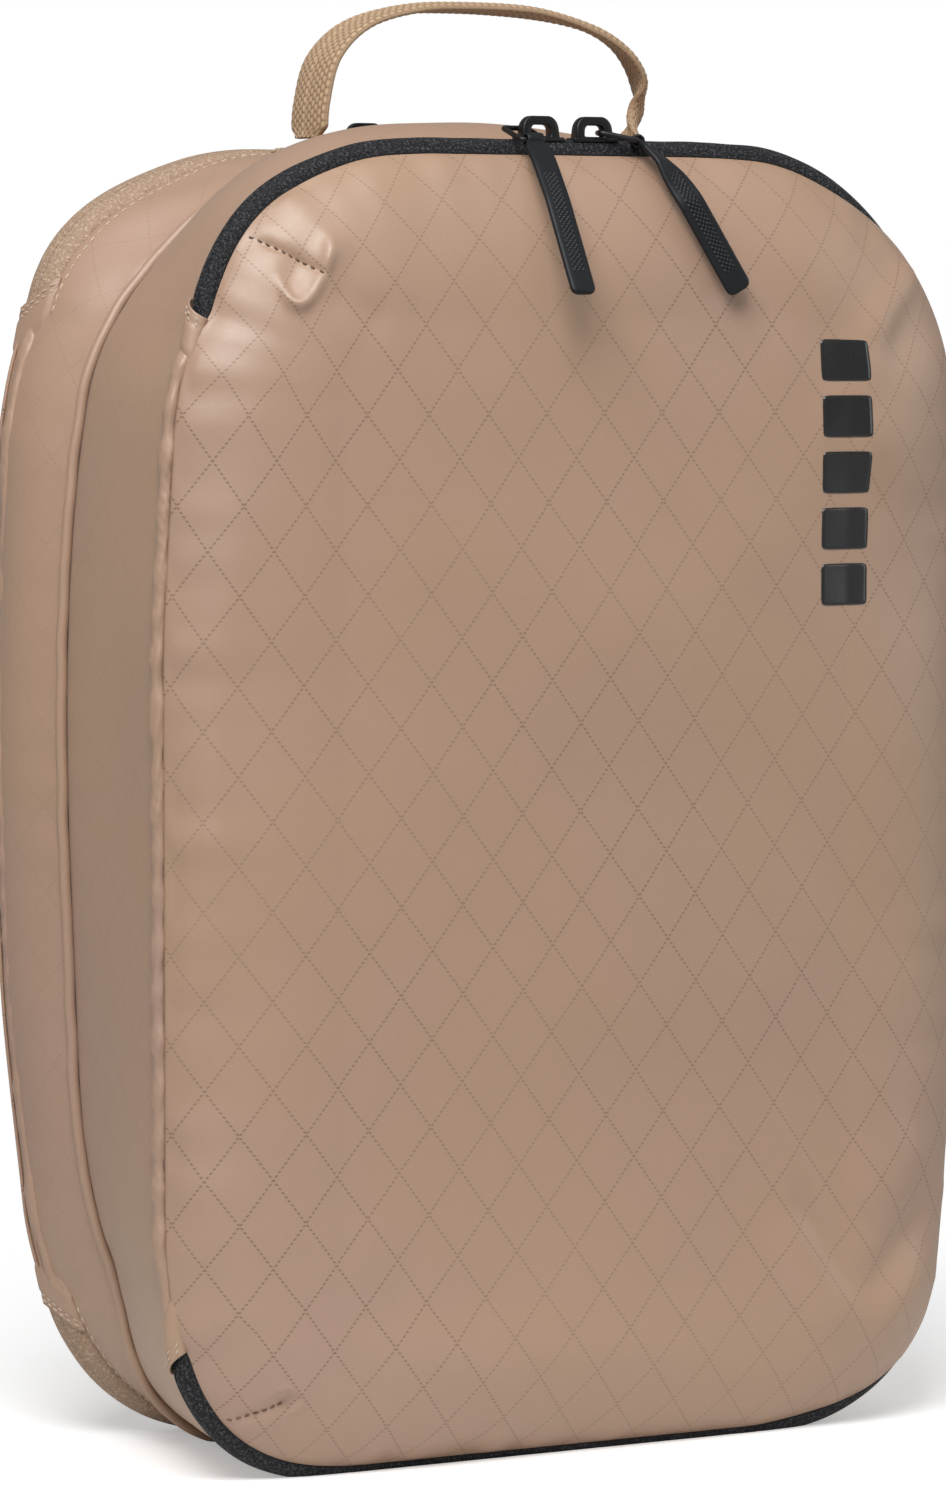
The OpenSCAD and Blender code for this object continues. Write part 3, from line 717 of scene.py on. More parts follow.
def gussetGrow(s, y, belly=True):
    # How far the gusset lies outside the straight outline at length s and depth y.
    front = y < case["midSeam"]
    edge = case["frontEdge"] if front else case["rearEdge"]
    toSeam = np.clip((y - edge) / (case["midSeam"] - edge), -0.1, 1)
    grow = -seamDip(s) * toSeam
    if not front:
        return grow + sideBelly(s) * np.sin((1 - toSeam) * math.pi / 2) - rearDip(s) * (1 - toSeam)
    if not belly:
        return grow
    return (grow - gusset["groove"] * np.exp(-(case["midSeam"] - y) / (2.4 * mm))
            + topBelly(s) * np.sin(math.pi * np.clip(toSeam, 0, 1)) ** 0.85)


def makeGusset(name, y0, y1, front, node):
    columns, count = gusset["around"], gusset["across"]
    s = np.arange(columns) / columns * loopLength
    depth = y1 - y0
    wide, fine, corner = [ripple(gusset["seed"] + k + (0 if front else 3), *spec)
                          for k, spec in enumerate(((8, 3, 12), (22, 26, 80), (12, 18, 40)))]
    flatX, flatZ, _, _ = outline(s, 0)
    _, _, nx, nz = outline(s)
    atCorner = sum(bell(fromSpot(s, c), 60 * mm) for c in cornerSpots)
    # along the hinges the cloth runs on under the folded tube
    hidden = 1 - zipShare(s)
    start, stop = y0 - hidden * (2.6 * mm if front else 0), y1 + hidden * (0 if front else 4.2 * mm)
    bottom = smooth((case["height"] * 0.04 - flatZ) / (case["height"] * 0.04))
    rows, uv = [], []
    for share in np.linspace(0, 1, count):
        y = start + (stop - start) * share
        fromSeam = (1 - share) if front else share
        middle = math.sin(math.pi * share)
        nearSeam = math.exp(-fromSeam * depth / (7 * mm)) * min(1, fromSeam * 12)
        wrinkles = (gusset["belly"] * middle * (depth / (50 * mm)) ** 0.5
                    + rippleAt(wide, s + 60 * mm * share) * middle * gusset["foldHeight"]
                    + rippleAt(fine, s) * 0.35 * mm * nearSeam
                    + rippleAt(corner, s + 25 * mm * share) * atCorner * middle * 0.7 * mm)
        grow = gussetGrow(s, y0 + depth * share) - 0.1 * mm + wrinkles * (1 - bottom)
        grow = np.where(bottom > 0.5, np.minimum(grow, 0), grow)
        rows.append(np.stack([flatX + nx * grow, y, np.maximum(flatZ + nz * grow, 0.05 * mm)], 1))
        uv.append(np.stack([y, s], 1))
    # a doubled first column closes the loop without breaking the pattern
    points = np.vstack([*rows, [row[0] for row in rows]])
    flat = np.vstack([*uv, [(row[0, 0], loopLength) for row in uv]])
    extra = count * columns
    faces = []
    for i in range(count - 1):
        for j in range(columns):
            a, d, last = i * columns + j, (i + 1) * columns + j, j == columns - 1
            faces.append((a, extra + i if last else a + 1, extra + i + 1 if last else d + 1, d))
    piece = fixNormals(meshFrom(name, points, faces, gussetMaterial, flat), join=True)
    thicken(piece, gusset["wall"], inside=liningMaterial)
    finishPiece(piece, "case", "shell_fabric", node)
    return piece


seamFront, seamRear = case["midSeam"] - 1.2 * mm, case["midSeam"] + 1.2 * mm
gussets = [makeGusset("front_gusset_cloth", case["frontEdge"], seamFront, True, "front_gusset"),
           makeGusset("rear_gusset_cloth", seamRear, case["rearEdge"], False, "rear_gusset")]


def sweepLoop(name, section, s, grow, y, material, closed):
    # Sweeps a closed section (outward, back) along places on the outline.
    rows = [onLoop(s, grow + outwards, y + back) for outwards, back in section]
    uv = [np.stack([girth + 0 * s, s], 1) for girth in lengthsOf(section)]
    return makeTube(name, rows, uv, material, closed)


loopSteps = np.arange(900) / 900 * loopLength
seamWaves = ripple(31, 14, 20, 70)
seamSection = [(gusset["seamRadius"] * math.cos(a), 0.85 * gusset["seamRadius"] * math.sin(a))
               for a in np.arange(12) * math.pi / 6]
seamGrow = gusset["seamOut"] - seamDip(loopSteps) - 0.1 * mm + rippleAt(seamWaves, loopSteps) * 0.18 * mm
seamDepth = case["midSeam"] + rippleAt(seamWaves, loopSteps + 0.1) * 0.15 * mm
seamPiping = sweepLoop("mid_seam_fold", seamSection, loopSteps, seamGrow, seamDepth, foldMaterial, True)
finishPiece(seamPiping, "case", "shell_fabric", "mid_seam_piping")

hinge = {"radius": 2.0 * mm, "front": 0.5 * mm, "rear": -1.5 * mm, "pinch": 0.28, "sides": 16}
hingeSteps = np.linspace(zipEnd - loopLength + 3 * mm, zipStart - 3 * mm, 420)


def makeHingeFold(name, y, node, grow, seed):
    # A gathered tube of cloth with pinches along it.
    s = hingeSteps
    waves, slow = ripple(seed, 16, 30, 110), ripple(seed + 1, 8, 8, 26)
    x, z, nx, nz = outline(s)
    pinch = 1 + hinge["pinch"] * rippleAt(waves, s) * 0.5
    grow = grow - 1.0 * mm * smooth((np.abs(s) - halfSide) / (20 * mm)) + rippleAt(slow, s) * 0.3 * mm
    rows, uv = [], []
    for k in range(hinge["sides"]):
        a = 2 * math.pi * k / hinge["sides"]
        radius = hinge["radius"] * pinch * (1 + 0.10 * np.sin(rippleAt(waves, s + 3 * mm * k) * 3))
        g = grow + radius * math.cos(a)
        back = 1.15 * radius * math.sin(a) + rippleAt(slow, s + 0.05) * 0.3 * mm
        rows.append(np.stack([x + nx * g, y + back, z + nz * g], 1))
        uv.append(np.stack([np.full_like(x, hinge["radius"] * a), s], 1))
    finishPiece(makeTube(name, rows, uv, foldMaterial), "case", "shell_fabric", node)


makeHingeFold("front_hinge_fold", case["frontZip"], "front_hinge_piping", hinge["front"], 41)
rearGrow = hinge["rear"] + sideBelly(hingeSteps)
makeHingeFold("rear_hinge_fold", case["backZip"], "rear_hinge_piping", rearGrow, 43)
print("gussets and folds made")


# Zip tapes: a knitted band that stands a little proud, in two halves with a slit between them.
zips = {
    "slit": 0.3 * mm, "steps": 2600, "knot": 0.03 * mm, "knotPitch": 1.15 * mm, "scallop": 0.3 * mm,
    "scallopPitch": 3.1 * mm,
    # half round sections: how far each stands out, dips in at its sewn edge and at the slit
    "black": {"rise": 2.5 * mm, "sewn": -1.4 * mm, "inner": -1.9 * mm, "overlap": 0.5 * mm},
    "beige": {"rise": 1.1 * mm, "sewn": -0.4 * mm, "inner": -1.1 * mm, "overlap": 0.4 * mm},
}


def makeTape(name, seamY, slitY, look, material, body, node):
    # One half of a zip's knitted band: it rises from its sewn edge to the slit, like half a rope.
    k = zips[look]
    beige, caseSide = look == "beige", body == "case"
    s = np.linspace(zipStart - 5 * mm, zipEnd + 5 * mm, zips["steps"])
    direction = math.copysign(1, slitY - seamY)
    span = abs(slitY - seamY) - zips["slit"] / 2 + k["overlap"]
    across = np.linspace(0, 1, 15)
    lifts = np.sqrt(1 - (1 - across) ** 2)
    girth = lengthsOf(np.stack([across * span, lifts * (k["rise"] - k["sewn"])], 1))
    drift = rippleAt(ripple(len(name), 12, 20, 60), s) * 0.12 * mm + beige * sideBelly(s)
    # the rope is flatter down the right side and sinks under the folds at its ends
    ends = smooth((s - s[0]) / (9 * mm)) * smooth((s[-1] - s) / (9 * mm))
    rise = k["rise"] * (1 - 0.75 * rightSide(s)) * (0.3 + 0.7 * ends)
    wavy = zips["scallop"] * np.abs(np.sin(math.pi * s / zips["scallopPitch"])) * (not beige and caseSide)
    rows, flat = [], []
    for face in (True, False):
        for n, (t, lift) in enumerate(list(zip(across, lifts))[::1 if face else -1]):
            outer = k["sewn"] + (rise - k["sewn"]) * lift
            knots = zips["knot"] * np.sin(2 * math.pi * s / zips["knotPitch"] + math.pi * n)
            knots = knots * min(1, 4 * t, 5 * (1 - t) + 0.3)
            grow = outer + knots if face else np.minimum(k["inner"], outer - 0.3 * mm)
            # the beige band leans from the hem out to the flap
            lean = 0.5 * t if caseSide else 1 - 0.5 * t
            grow = grow + drift + beige * rearDip(s) * (lean ** 0.7 * 1.35 - 1)
            y = seamY + direction * (span * t - k["overlap"] + wavy * (1 - t) ** 2)
            rows.append(onLoop(s, grow, y, 0.02 * mm))
            flat.append(np.stack([np.full_like(s, girth[n] + 2 * mm), s], 1))
    finishPiece(makeTube(name, rows, flat, material), body, look + "_zip", node)


for name, edge, slit, look, material, body, node in (
        ("front_tape_case_side", "frontEdge", "frontZip", "black", blackKnit, "case", "front_zip_case_tape"),
        ("front_tape_lid_side", "lidRim", "frontZip", "black", blackKnit, "front_lid", "front_zip_lid_tape"),
        ("back_tape_case_side", "rearEdge", "backZip", "beige", beigeKnit, "case", "rear_zip_case_tape"),
        ("back_tape_flap_side", "flapRim", "backZip", "beige", beigeKnit, "back_flap", "rear_zip_flap_tape")):
    makeTape(name, case[edge], case[slit], look, material, body, node)
print("tapes made")


# Linings of the seams, the hems beside the hinges and the sheet between the compartments.
binding = {"wall": 1.2 * mm, "inset": 0.8 * mm}


def makeBinding(name, node, body, s, closed, material, slotName):
    low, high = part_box(node)
    grow = -(case["width"] / 2 - high.x if closed else 0.0) - binding["inset"]
    grow = grow + rippleAt(ripple(len(node), 12, 20, 60), s) * 0.06 * mm
    if body == "case":
        # inside the gusset the tape keeps to its lowest line
        grow = grow + np.minimum.reduce([gussetGrow(s, low.y, False), gussetGrow(s, high.y, False), 0 * s])
    elif body == "back_flap":
        grow = grow + sideBelly(s)
    depths = np.linspace(low.y, high.y, 5)
    section = [(-binding["wall"], low.y), *((0, y) for y in depths)]
    section += [(-binding["wall"], y) for y in depths[:0:-1]]
    finishPiece(sweepLoop(name, section, s, grow, 0, material, closed), body, slotName, node)


for name, body in (("front_seam_binding", "case"), ("mid_seam_binding", "case"),
                   ("rear_seam_binding", "case"), ("front_panel_binding", "front_lid"),
                   ("back_panel_binding", "back_flap")):
    makeBinding(name + "_tape", name, body, loopSteps, True, liningMaterial, "lining_fabric")
for name, body in (("front_panel_hem", "front_lid"), ("back_panel_hem", "back_flap")):
    makeBinding(name + "_cloth", name, body, hingeSteps, False, foldMaterial, "shell_fabric")

divider = {"rows": 40, "columns": 240, "wall": 0.8 * mm, "wave": 2.2 * mm, "seed": 71}


def makeDivider():
    rows, columns = divider["rows"], divider["columns"]
    s = np.arange(columns) / columns * loopLength
    midZ = case["height"] / 2
    x, z, _, _ = outline(s, -1.3 * mm - seamDip(s))
    t = np.linspace(1, 0.02, rows)[:, None]
    x, z = x * t, midZ + (z - midZ) * t
    waves = valueNoise(x, z, 60 * mm, divider["seed"]) + 0.4 * valueNoise(x, z, 25 * mm, 7)
    y = case["midSeam"] + smooth((1 - t) / 0.25) * waves * divider["wave"]
    points = np.vstack([np.stack([x, y, z], 2).reshape(-1, 3), (0, y[-1].mean(), midZ)])
    faces = gridFaces(rows, columns, closeColumns=True)
    tail = (rows - 1) * columns
    faces += [(tail + j, tail + (j + 1) % columns, rows * columns) for j in range(columns)]
    piece = fixNormals(meshFrom("divider_cloth", points, faces, liningMaterial, points[:, [0, 2]]))
    thicken(piece, divider["wall"], 0.0)
    finishPiece(piece, "case", "lining_fabric", "divider_panel")


makeDivider()


# Coils: a light helix along each side of both slits.
coil = {"pitch": 1.5 * mm, "wire": 0.3 * mm, "perTurn": 6, "halfHeight": 0.9 * mm}


def makeCoil(name, node, body, material, slotName):
    low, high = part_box(node)
    midY, halfY = (low.y + high.y) / 2, (high.y - low.y) / 2 - coil["wire"]
    count = int((zipEnd - zipStart) / coil["pitch"]) * coil["perTurn"] + 1
    s = np.linspace(zipStart, zipEnd, count)
    a = np.arange(count) * 2 * math.pi / coil["perTurn"]
    x, z, _, _ = outline(s, 0)
    _, _, nx, nz = outline(s)
    grow = high.z - case["height"] - coil["halfHeight"] + (coil["halfHeight"] - coil["wire"]) * np.cos(a)
    if midY > case["midSeam"]:
        grow = grow + sideBelly(s)
    centre = np.stack([x + nx * grow, midY + halfY * np.sin(a), z + nz * grow], 1)
    ahead = unit(np.gradient(centre, axis=0))
    side = unit(np.cross(ahead, np.stack([nx * np.cos(a), np.sin(a), nz * np.cos(a)], 1)))
    up = np.cross(side, ahead)
    rows = [centre + coil["wire"] * (math.cos(turn) * up + math.sin(turn) * side)
            for turn in np.arange(4) * math.pi / 2]
    uv = [np.stack([np.full_like(s, k * coil["wire"]), s], 1) for k in range(4)]
    finishPiece(makeTube(name, rows, uv, material), body, slotName, node)


for name, node, body, material, slotName in (
        ("front_coil_case_side", "front_zip_case_coil", "case", sliderMaterial, "black_zip"),
        ("front_coil_lid_side", "front_zip_lid_coil", "front_lid", sliderMaterial, "black_zip"),
        ("back_coil_case_side", "rear_zip_case_coil", "case", beigeKnit, "beige_zip"),
        ("back_coil_flap_side", "rear_zip_flap_coil", "back_flap", beigeKnit, "beige_zip")):
    makeCoil(name, node, body, material, slotName)
print("linings and coils made")


# Carry handle: webbing with raised rows, gathered to a fold at each foot.
handle = {
    "span": 104 * mm, "width": 20 * mm, "wall": 1.8 * mm, "leftFoot": 13 * mm, "rightFoot": 14 * mm,
    "columns": 12, "bump": 0.42 * mm, "stitch": 2.3 * mm, "along": 560, "across": 73,
    # places of the middle line, across and up
    "path": [(-52, 363.6), (-51.2, 373.5), (-47.4, 386), (-37.5, 395.2), (-22.5, 399.8), (-6, 401),
             (17.8, 400.3), (37.8, 396.4), (49, 391), (54.8, 384), (55.9, 377), (53.6, 370), (52, 363.6)],
}
joints = {joint["name"]: joint for joint in frame["joints"]}


def makeHandle():
    line = curveThrough(handle["path"], 60) * mm
    cuts = lengthsOf(line)
    total = cuts[-1]
    d = np.linspace(0, 1, handle["along"]) * total
    x, z = np.interp(d, cuts, line[:, 0]), np.interp(d, cuts, line[:, 1])
    slope = np.arctan2(np.gradient(z), np.gradient(x))
    kernel = np.hanning(15) / np.hanning(15).sum()
    slope = np.convolve(np.pad(slope, 7, "edge"), kernel, "valid")
    # narrow at both feet, with a half twist above the right one
    toRight, full = total - d, handle["width"]
    left = handle["leftFoot"] + (full - handle["leftFoot"]) * smooth(d / (3.5 * mm))
    right = (handle["rightFoot"] - 5 * mm * bell(toRight - 8 * mm, 5 * mm)
             + (full - handle["rightFoot"]) * smooth((toRight - 6 * mm) / (24 * mm)))
    width = np.minimum(left, right)
    twist = (0.3 * smooth((70 * mm - toRight) / (45 * mm)) * smooth(toRight / (6 * mm))
             + 0.5 * bell(toRight - 9 * mm, 5 * mm))[:, None]
    flat = np.stack([-np.sin(slope), 0 * slope, np.cos(slope)], 1)
    side = np.array([[0.0, 1.0, 0.0]])
    across, out = side * np.cos(twist) + flat * np.sin(twist), flat * np.cos(twist) - side * np.sin(twist)
    centre = np.stack([x, np.full_like(x, case["midSeam"]), z], 1)
    squeeze = width / full
    rows, uv = [], []
    for face in (1, -1):
        for w in np.linspace(-1, 1, handle["across"])[::face]:
            lane = (w + 1) / 2 * handle["columns"]
            odd = int(min(lane, handle["columns"] - 1e-6)) % 2
            stitch = np.abs(np.sin(math.pi * d / handle["stitch"] + math.pi / 2 * odd)) ** 0.8
            bumps = (0.2 + 0.8 * stitch) * abs(math.sin(math.pi * lane)) ** 0.6 * handle["bump"]
            edge = 1 - abs(w) ** 8
            wall = handle["wall"] / 2 * (0.55 + 0.45 * edge) * (1 + 0.5 * (1 - squeeze))
            groove = 0.35 * mm * math.exp(-(w / 0.05) ** 2)
            off = face * (wall + (bumps - groove) * edge) - 0.8 * mm * w * w * squeeze
            rows.append(centre + across * (w * width / 2)[:, None] + out * off[:, None])
            uv.append(np.stack([np.full_like(d, w * full / 2 + (0 if face == 1 else 0.05)), d], 1))
    piece = makeTube("handle_strip", rows, uv, webMaterial)
    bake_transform(piece)
    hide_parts("handle_webbing")


makeHandle()


def slabFaces(rows, columns):
    # Two equal grids of points, one after the other, joined round their rims.
    below = rows * columns
    faces = gridFaces(rows, columns)
    rim = [*range(columns), *range(2 * columns - 1, below, columns),
           *range(below - 2, below - columns - 1, -1), *range(below - 2 * columns, 0, -columns)]
    faces += [tuple(v + below for v in reversed(f)) for f in faces]
    return faces + [(a, b, b + below, a + below) for a, b in zip(rim, rim[1:] + rim[:1])]


def makeTab(name, x, front):
    # End of the webbing, sewn flat beside the middle seam.
    low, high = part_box("handle_anchor_tabs")
    y0, y1 = (low.y, case["midSeam"] - 2.1 * mm) if front else (case["midSeam"] + 2.1 * mm, high.y)
    half, nx, ny = 6 * mm, 30, 20
    gx, gy = np.meshgrid(np.linspace(-half, half, nx), np.linspace(y0, y1, ny))
    away = np.minimum.reduce([half - np.abs(gx), gy - y0, y1 - gy])
    weave = 0.75 * mm + 0.2 * mm * np.sin(gx / mm * 2.6) * np.sin(gy / mm * 2.1)
    faces = (weave * smooth(away / (1.0 * mm)) + 0.15 * mm, 0 * gx - 0.3 * mm)
    points = np.vstack([np.stack([x + gx, gy, case["height"] + lift], 2).reshape(-1, 3) for lift in faces])
    tab = fixNormals(meshFrom(name, points, slabFaces(ny, nx), webMaterial, points[:, :2]))
    finishPiece(tab, "case", "webbing", "handle_anchor_tabs")


for x, word in ((-handle["span"] / 2, "left"), (handle["span"] / 2, "right")):
    for front in (True, False):
        makeTab(f"handle_tab_{word}_{'front' if front else 'rear'}", x, front)
print("handle made")


# Stitches, dart seams, folded zip ends and the printed bars, all laid on the finished cloth.
stitchLook = {"radius": 0.26 * mm, "length": 2.1 * mm, "pitch": 3.2 * mm, "sides": 5}


def surfaceOf(*found):
    points, faces = [], []
    for piece in found:
        base = len(points)
        points += [v.co.copy() for v in piece.data.vertices]
        faces += [tuple(base + i for i in f.vertices) for f in piece.data.polygons]
    return BVHTree.FromPolygons(points, faces)


def landOn(tree, origin, direction):
    # Where a line from outside meets the cloth, and the cloth's direction there.
    place, normal, _, _ = tree.ray_cast(Vector(origin), Vector(direction).normalized(), 60 * mm)
    if place is None:
        return None
    return place, -normal if normal.dot(Vector(direction)) > 0 else normal


def makeStitches(name, line, length, radius, material, body):
    # line holds (place, normal, direction) of each stitch; each is a short bar with tucked ends.
    points, faces, sides = [], [], stitchLook["sides"]
    for place, normal, ahead in line:
        ahead = (ahead - normal * ahead.dot(normal)).normalized()
        side = normal.cross(ahead)
        base = len(points)
        for along, size, lift in ((-0.5, 0.35, -0.3), (-0.3, 1.0, 0.55), (0.3, 1.0, 0.55), (0.5, 0.35, -0.3)):
            for a in (2 * math.pi * k / sides for k in range(sides)):
                points.append(place + ahead * along * length + normal * radius * (lift + size * math.sin(a))
                              + side * radius * size * math.cos(a))
        faces += [tuple(base + v for v in f) for f in gridFaces(4, sides, closeColumns=True)]
        faces += [tuple(range(base, base + sides)), tuple(range(base + 3 * sides, base + 4 * sides))]
    points = np.array(points)
    finishPiece(fixNormals(meshFrom(name, points, faces, material, points[:, [0, 2]])), body, "shell_fabric")


def hemStitches():
    # A row beside the rear zip, brought down on to the gusset from just outside it.
    tree, line = surfaceOf(*gussets), []
    s = np.arange(zipStart - 4 * mm, zipEnd + 4 * mm, stitchLook["pitch"])
    x, z, nx, nz = outline(s)
    places = [Vector((a, case["rearEdge"] - 2.4 * mm, b)) for a, b in zip(x, z)]
    ways = [b - a for a, b in zip(places, places[1:])]
    for place, way, a, b in zip(places, ways + ways[-1:], nx, nz):
        out = Vector((a, 0, b))
        hit = landOn(tree, place + out * 12 * mm, -out)
        if hit:
            line.append((*hit, way))
    k = stitchLook
    makeStitches("rear_hem_stitches", line, k["length"], k["radius"], threadMaterial, "case")


hemStitches()
panelTree = surfaceOf(frontPanelPiece)


def onPanel(x, z):
    return landOn(panelTree, (x, -0.1, z), (0, 1, 0))


def dartRow(seam):
    spots = curveThrough(seam, 30) * mm
    cuts = lengthsOf(spots)
    line = []
    for d in np.arange(1 * mm, cuts[-1], 2.1 * mm):
        (x, z), (x2, z2) = [[np.interp(e, cuts, spots[:, i]) for i in (0, 1)] for e in (d, d - 0.5 * mm)]
        hit = onPanel(x, z)
        if hit:
            line.append((*hit, Vector((x - x2, 0, z - z2))))
    return line


makeStitches("dart_stitches", sum((dartRow(dart["seam"]) for dart in frontPanel["darts"]), []),
             1.6 * mm, 0.3 * mm, darkThread, "front_lid")

# Folded cloth sewn over the ends of the zips: depths it covers, how far it stands out, how much its edge
# slants and sags, and its length. The front ones are sleeves round the rope, the rear ones are flat laps.
zipEnds = {
    "front": {"low": case["lidRim"] - 1.0 * mm, "high": case["frontEdge"] + 1.0 * mm, "lift": 3.2 * mm,
              "slant": 6.5 * mm, "length": 15 * mm, "sag": 0.8 * mm},
    "rear": {"low": case["rearEdge"] - 1.5 * mm, "high": case["flapRim"] + 0.6 * mm, "lift": 1.5 * mm,
             "slant": -10 * mm, "length": 14 * mm, "sag": 1.0 * mm},
}


def makeZipEnd(name, where, spot, inward):
    # inward is the way the zip runs
    k = zipEnds[where]
    nAlong, nAcross, sleeve = 26, 30, where == "front"
    tall = k["high"] - k["low"]
    along = np.linspace(0, 1, nAlong)

    def edgeAt(t):
        return spot + inward * (k["slant"] * (t - 0.5) - k["sag"] * math.sin(math.pi * t))

    rows, uv = [], []
    for t in np.arange(nAcross) / (nAcross - 1):
        y = k["low"] + tall * t
        s = edgeAt(t) - inward * along * k["length"]
        if sleeve:
            # it dives under the cloth on both sides
            arch = math.sqrt(max(0.0, 1 - (2 * t - 1) ** 2))
            thinner = k["lift"] * (1 - 0.35 * smooth((along - 0.1) / 0.8))
            grow = -1.7 * mm + (thinner + 1.7 * mm) * arch + 0.3 * mm * np.exp(-along / 0.05)
        else:
            # sewn down towards the gusset, high where it goes over the zip
            arch = math.sin(math.pi * (0.87 - 0.85 * (1 - t))) ** 0.5 * (1 - smooth((along - 0.12) / 0.8))
            grow = k["lift"] * arch + 0.3 * mm * np.exp(-along / 0.06) + 0.1 * mm
            grow = grow - 0.7 * mm * smooth((0.15 - t) / 0.15) + sideBelly(s) - rearDip(s) * (1 - t) ** 0.7
        grow = grow - 0.3 * mm * bell(along - 0.22, 0.05) - 1.0 * mm * smooth((along - 0.7) / 0.3)
        rows.append(onLoop(s, grow, y))
        uv.append(np.stack([np.full_like(s, y), s], 1))
    piece = fixNormals(meshFrom(name, rows, gridFaces(nAcross, nAlong), foldMaterial, uv), join=True)
    thicken(piece, 0.5 * mm)
    finishPiece(piece, "case", "shell_fabric")
    tree, line = surfaceOf(piece), []
    count = max(4, int(math.hypot(tall, k["slant"]) / (2.2 * mm)))
    for row in (1.6 * mm, 3.2 * mm):
        for t in np.linspace(0.1, 0.9, count):
            x, z, nx, nz = (float(v) for v in outline(edgeAt(t) - inward * row, 14 * mm))
            hit = landOn(tree, (x, k["low"] + tall * t, z), (-nx, 0, -nz))
            if hit:
                line.append((*hit, Vector((nz * k["slant"] * inward, tall, -nx * k["slant"] * inward))))
    makeStitches(name + "_stitches", line, 1.5 * mm, 0.24 * mm, threadMaterial, "case")


for where in zipEnds:
    makeZipEnd(where + "_zip_end_top", where, zipStart, 1)
    makeZipEnd(where + "_zip_end_bottom", where, zipEnd, -1)

# plain blocks where the front carries a print
printLook = {"left": 70.5 * mm, "right": 86.5 * mm, "top": 308 * mm, "bottom": 234 * mm, "blocks": 5,
             "gap": 4 * mm, "round": 1.2 * mm, "steps": 14}


def makePrint():
    k = printLook
    tall = (k["top"] - k["bottom"] + k["gap"]) / k["blocks"] - k["gap"]
    wide, n = k["right"] - k["left"], k["steps"] + 1
    points, faces = [], []
    for b in range(k["blocks"]):
        base, low = len(points), k["bottom"] + b * (tall + k["gap"])
        for lift in (0.14 * mm, -0.1 * mm):
            for v in np.linspace(-1, 1, n):
                for u in np.linspace(-1, 1, n):
                    # squared corners drawn in to a small radius
                    cut = k["round"] * abs(u) ** 8 * abs(v) ** 8 * 0.3
                    hit = onPanel(k["left"] + wide * (u + 1) / 2 - math.copysign(cut, u),
                                  low + tall * (v + 1) / 2 - math.copysign(cut, v))
                    points.append(hit[0] + hit[1] * lift)
        faces += [tuple(base + v for v in f) for f in slabFaces(n, n)]
    points = np.array(points)
    blocks = fixNormals(meshFrom("front_print", points, faces, printMaterial, points[:, [0, 2]]))
    finishPiece(blocks, "front_lid", "shell_fabric")


makePrint()
print("stitches and print made")


# The filled cloth settles a little out of its sewn outline. Each entry: move, place on the loop, reach
# either way, the depth where it is whole and the depths in front and behind where it is gone.
settling = [
    (-4.5 * mm, halfSide + 28 * mm, 42 * mm, case["frontEdge"], None, case["midSeam"]),
    (-3.5 * mm, halfSide + 4 * mm, 80 * mm, case["frontEdge"], None, case["midSeam"]),
    (-2.5 * mm, halfSide + cornerRun - 30 * mm, 45 * mm, case["frontEdge"], None, case["midSeam"]),
    (-3.6 * mm, halfSide + cornerRun + topRun + 52 * mm, 72 * mm, case["frontEdge"], None, case["midSeam"]),
    (4.5 * mm, halfSide + 38 * mm, 48 * mm, case["rearEdge"], case["midSeam"], None),
    (2.8 * mm, halfSide - 90 * mm, 105 * mm, case["midSeam"], case["midSeam"] - 34 * mm, None),
    (-4.0 * mm, -halfSide - 60 * mm, 34 * mm, case["midSeam"], case["frontEdge"], case["rearEdge"]),
]


def loopPlace(x, z):
    # Nearest place on the loop for points of the upper and left parts, its direction and the depth inside it.
    r = case["corner"]
    cx, high, low = case["width"] / 2 - r, case["height"] - r, r
    dx = np.where(x < -cx, x + cx, np.where(x > cx, x - cx, 0))
    dz = np.where(z > high, z - high, np.where(z < low, z - low, 0))
    away = np.maximum(np.hypot(dx, dz), 1e-6)
    nx, nz = dx / away, dz / away
    left, right, top = (x < -cx), (x > cx), (z > high)
    turn = np.where(top, np.arctan2(dz, np.abs(dx) + 1e-9), 0)
    s = np.where(left & top, halfSide + r * turn, np.where(left, z - case["height"] / 2, 0))
    s = np.where(left & (z < low), -halfSide + r * np.arctan2(dz, np.abs(dx) + 1e-9), s)
    s = np.where(~left & ~right & top, halfSide + cornerRun + x + cx, s)
    s = np.where(right & top, halfSide + cornerRun + topRun + r * (math.pi / 2 - turn), s)
    s = np.where(right & ~top, halfSide + 2 * cornerRun + topRun + high - z, s)
    used = left | top | right
    return s, nx, nz, np.where(used, np.clip(r - away, 0, None), 1.0)


def settle(piece):
    p = np.empty(len(piece.data.vertices) * 3)
    piece.data.vertices.foreach_get("co", p)
    p = p.reshape(-1, 3)
    s, nx, nz, inset = loopPlace(p[:, 0], p[:, 2])
    move = np.zeros(len(p))
    for amount, spot, reach, whole, *gone in settling:
        hump = archOver(s, spot, reach)
        for depth in gone:
            if depth is not None:
                hump = hump * smooth((p[:, 1] - depth) / (whole - depth))
        move += amount * hump
    move *= smooth(1.15 - inset / (42 * mm))
    p[:, 0] += nx * move
    p[:, 2] += nz * move
    piece.data.vertices.foreach_set("co", p.ravel())
    piece.data.update()


for piece in bpy.data.objects:
    if piece.type == "MESH" and piece.name not in carried:
        settle(piece)
print("cloth settled")


# Sliders, rings and straps.
sliderShape = {
    "length": 14 * mm, "width": 8 * mm, "plate": 1.2 * mm, "lowWidth": 7 * mm,
    "crownLength": 12 * mm, "crownWidth": 2.8 * mm, "crownHeight": 6.6 * mm,
    "wire": 1.5 * mm, "ringLength": 11 * mm, "ringWidth": 7.5 * mm,
}


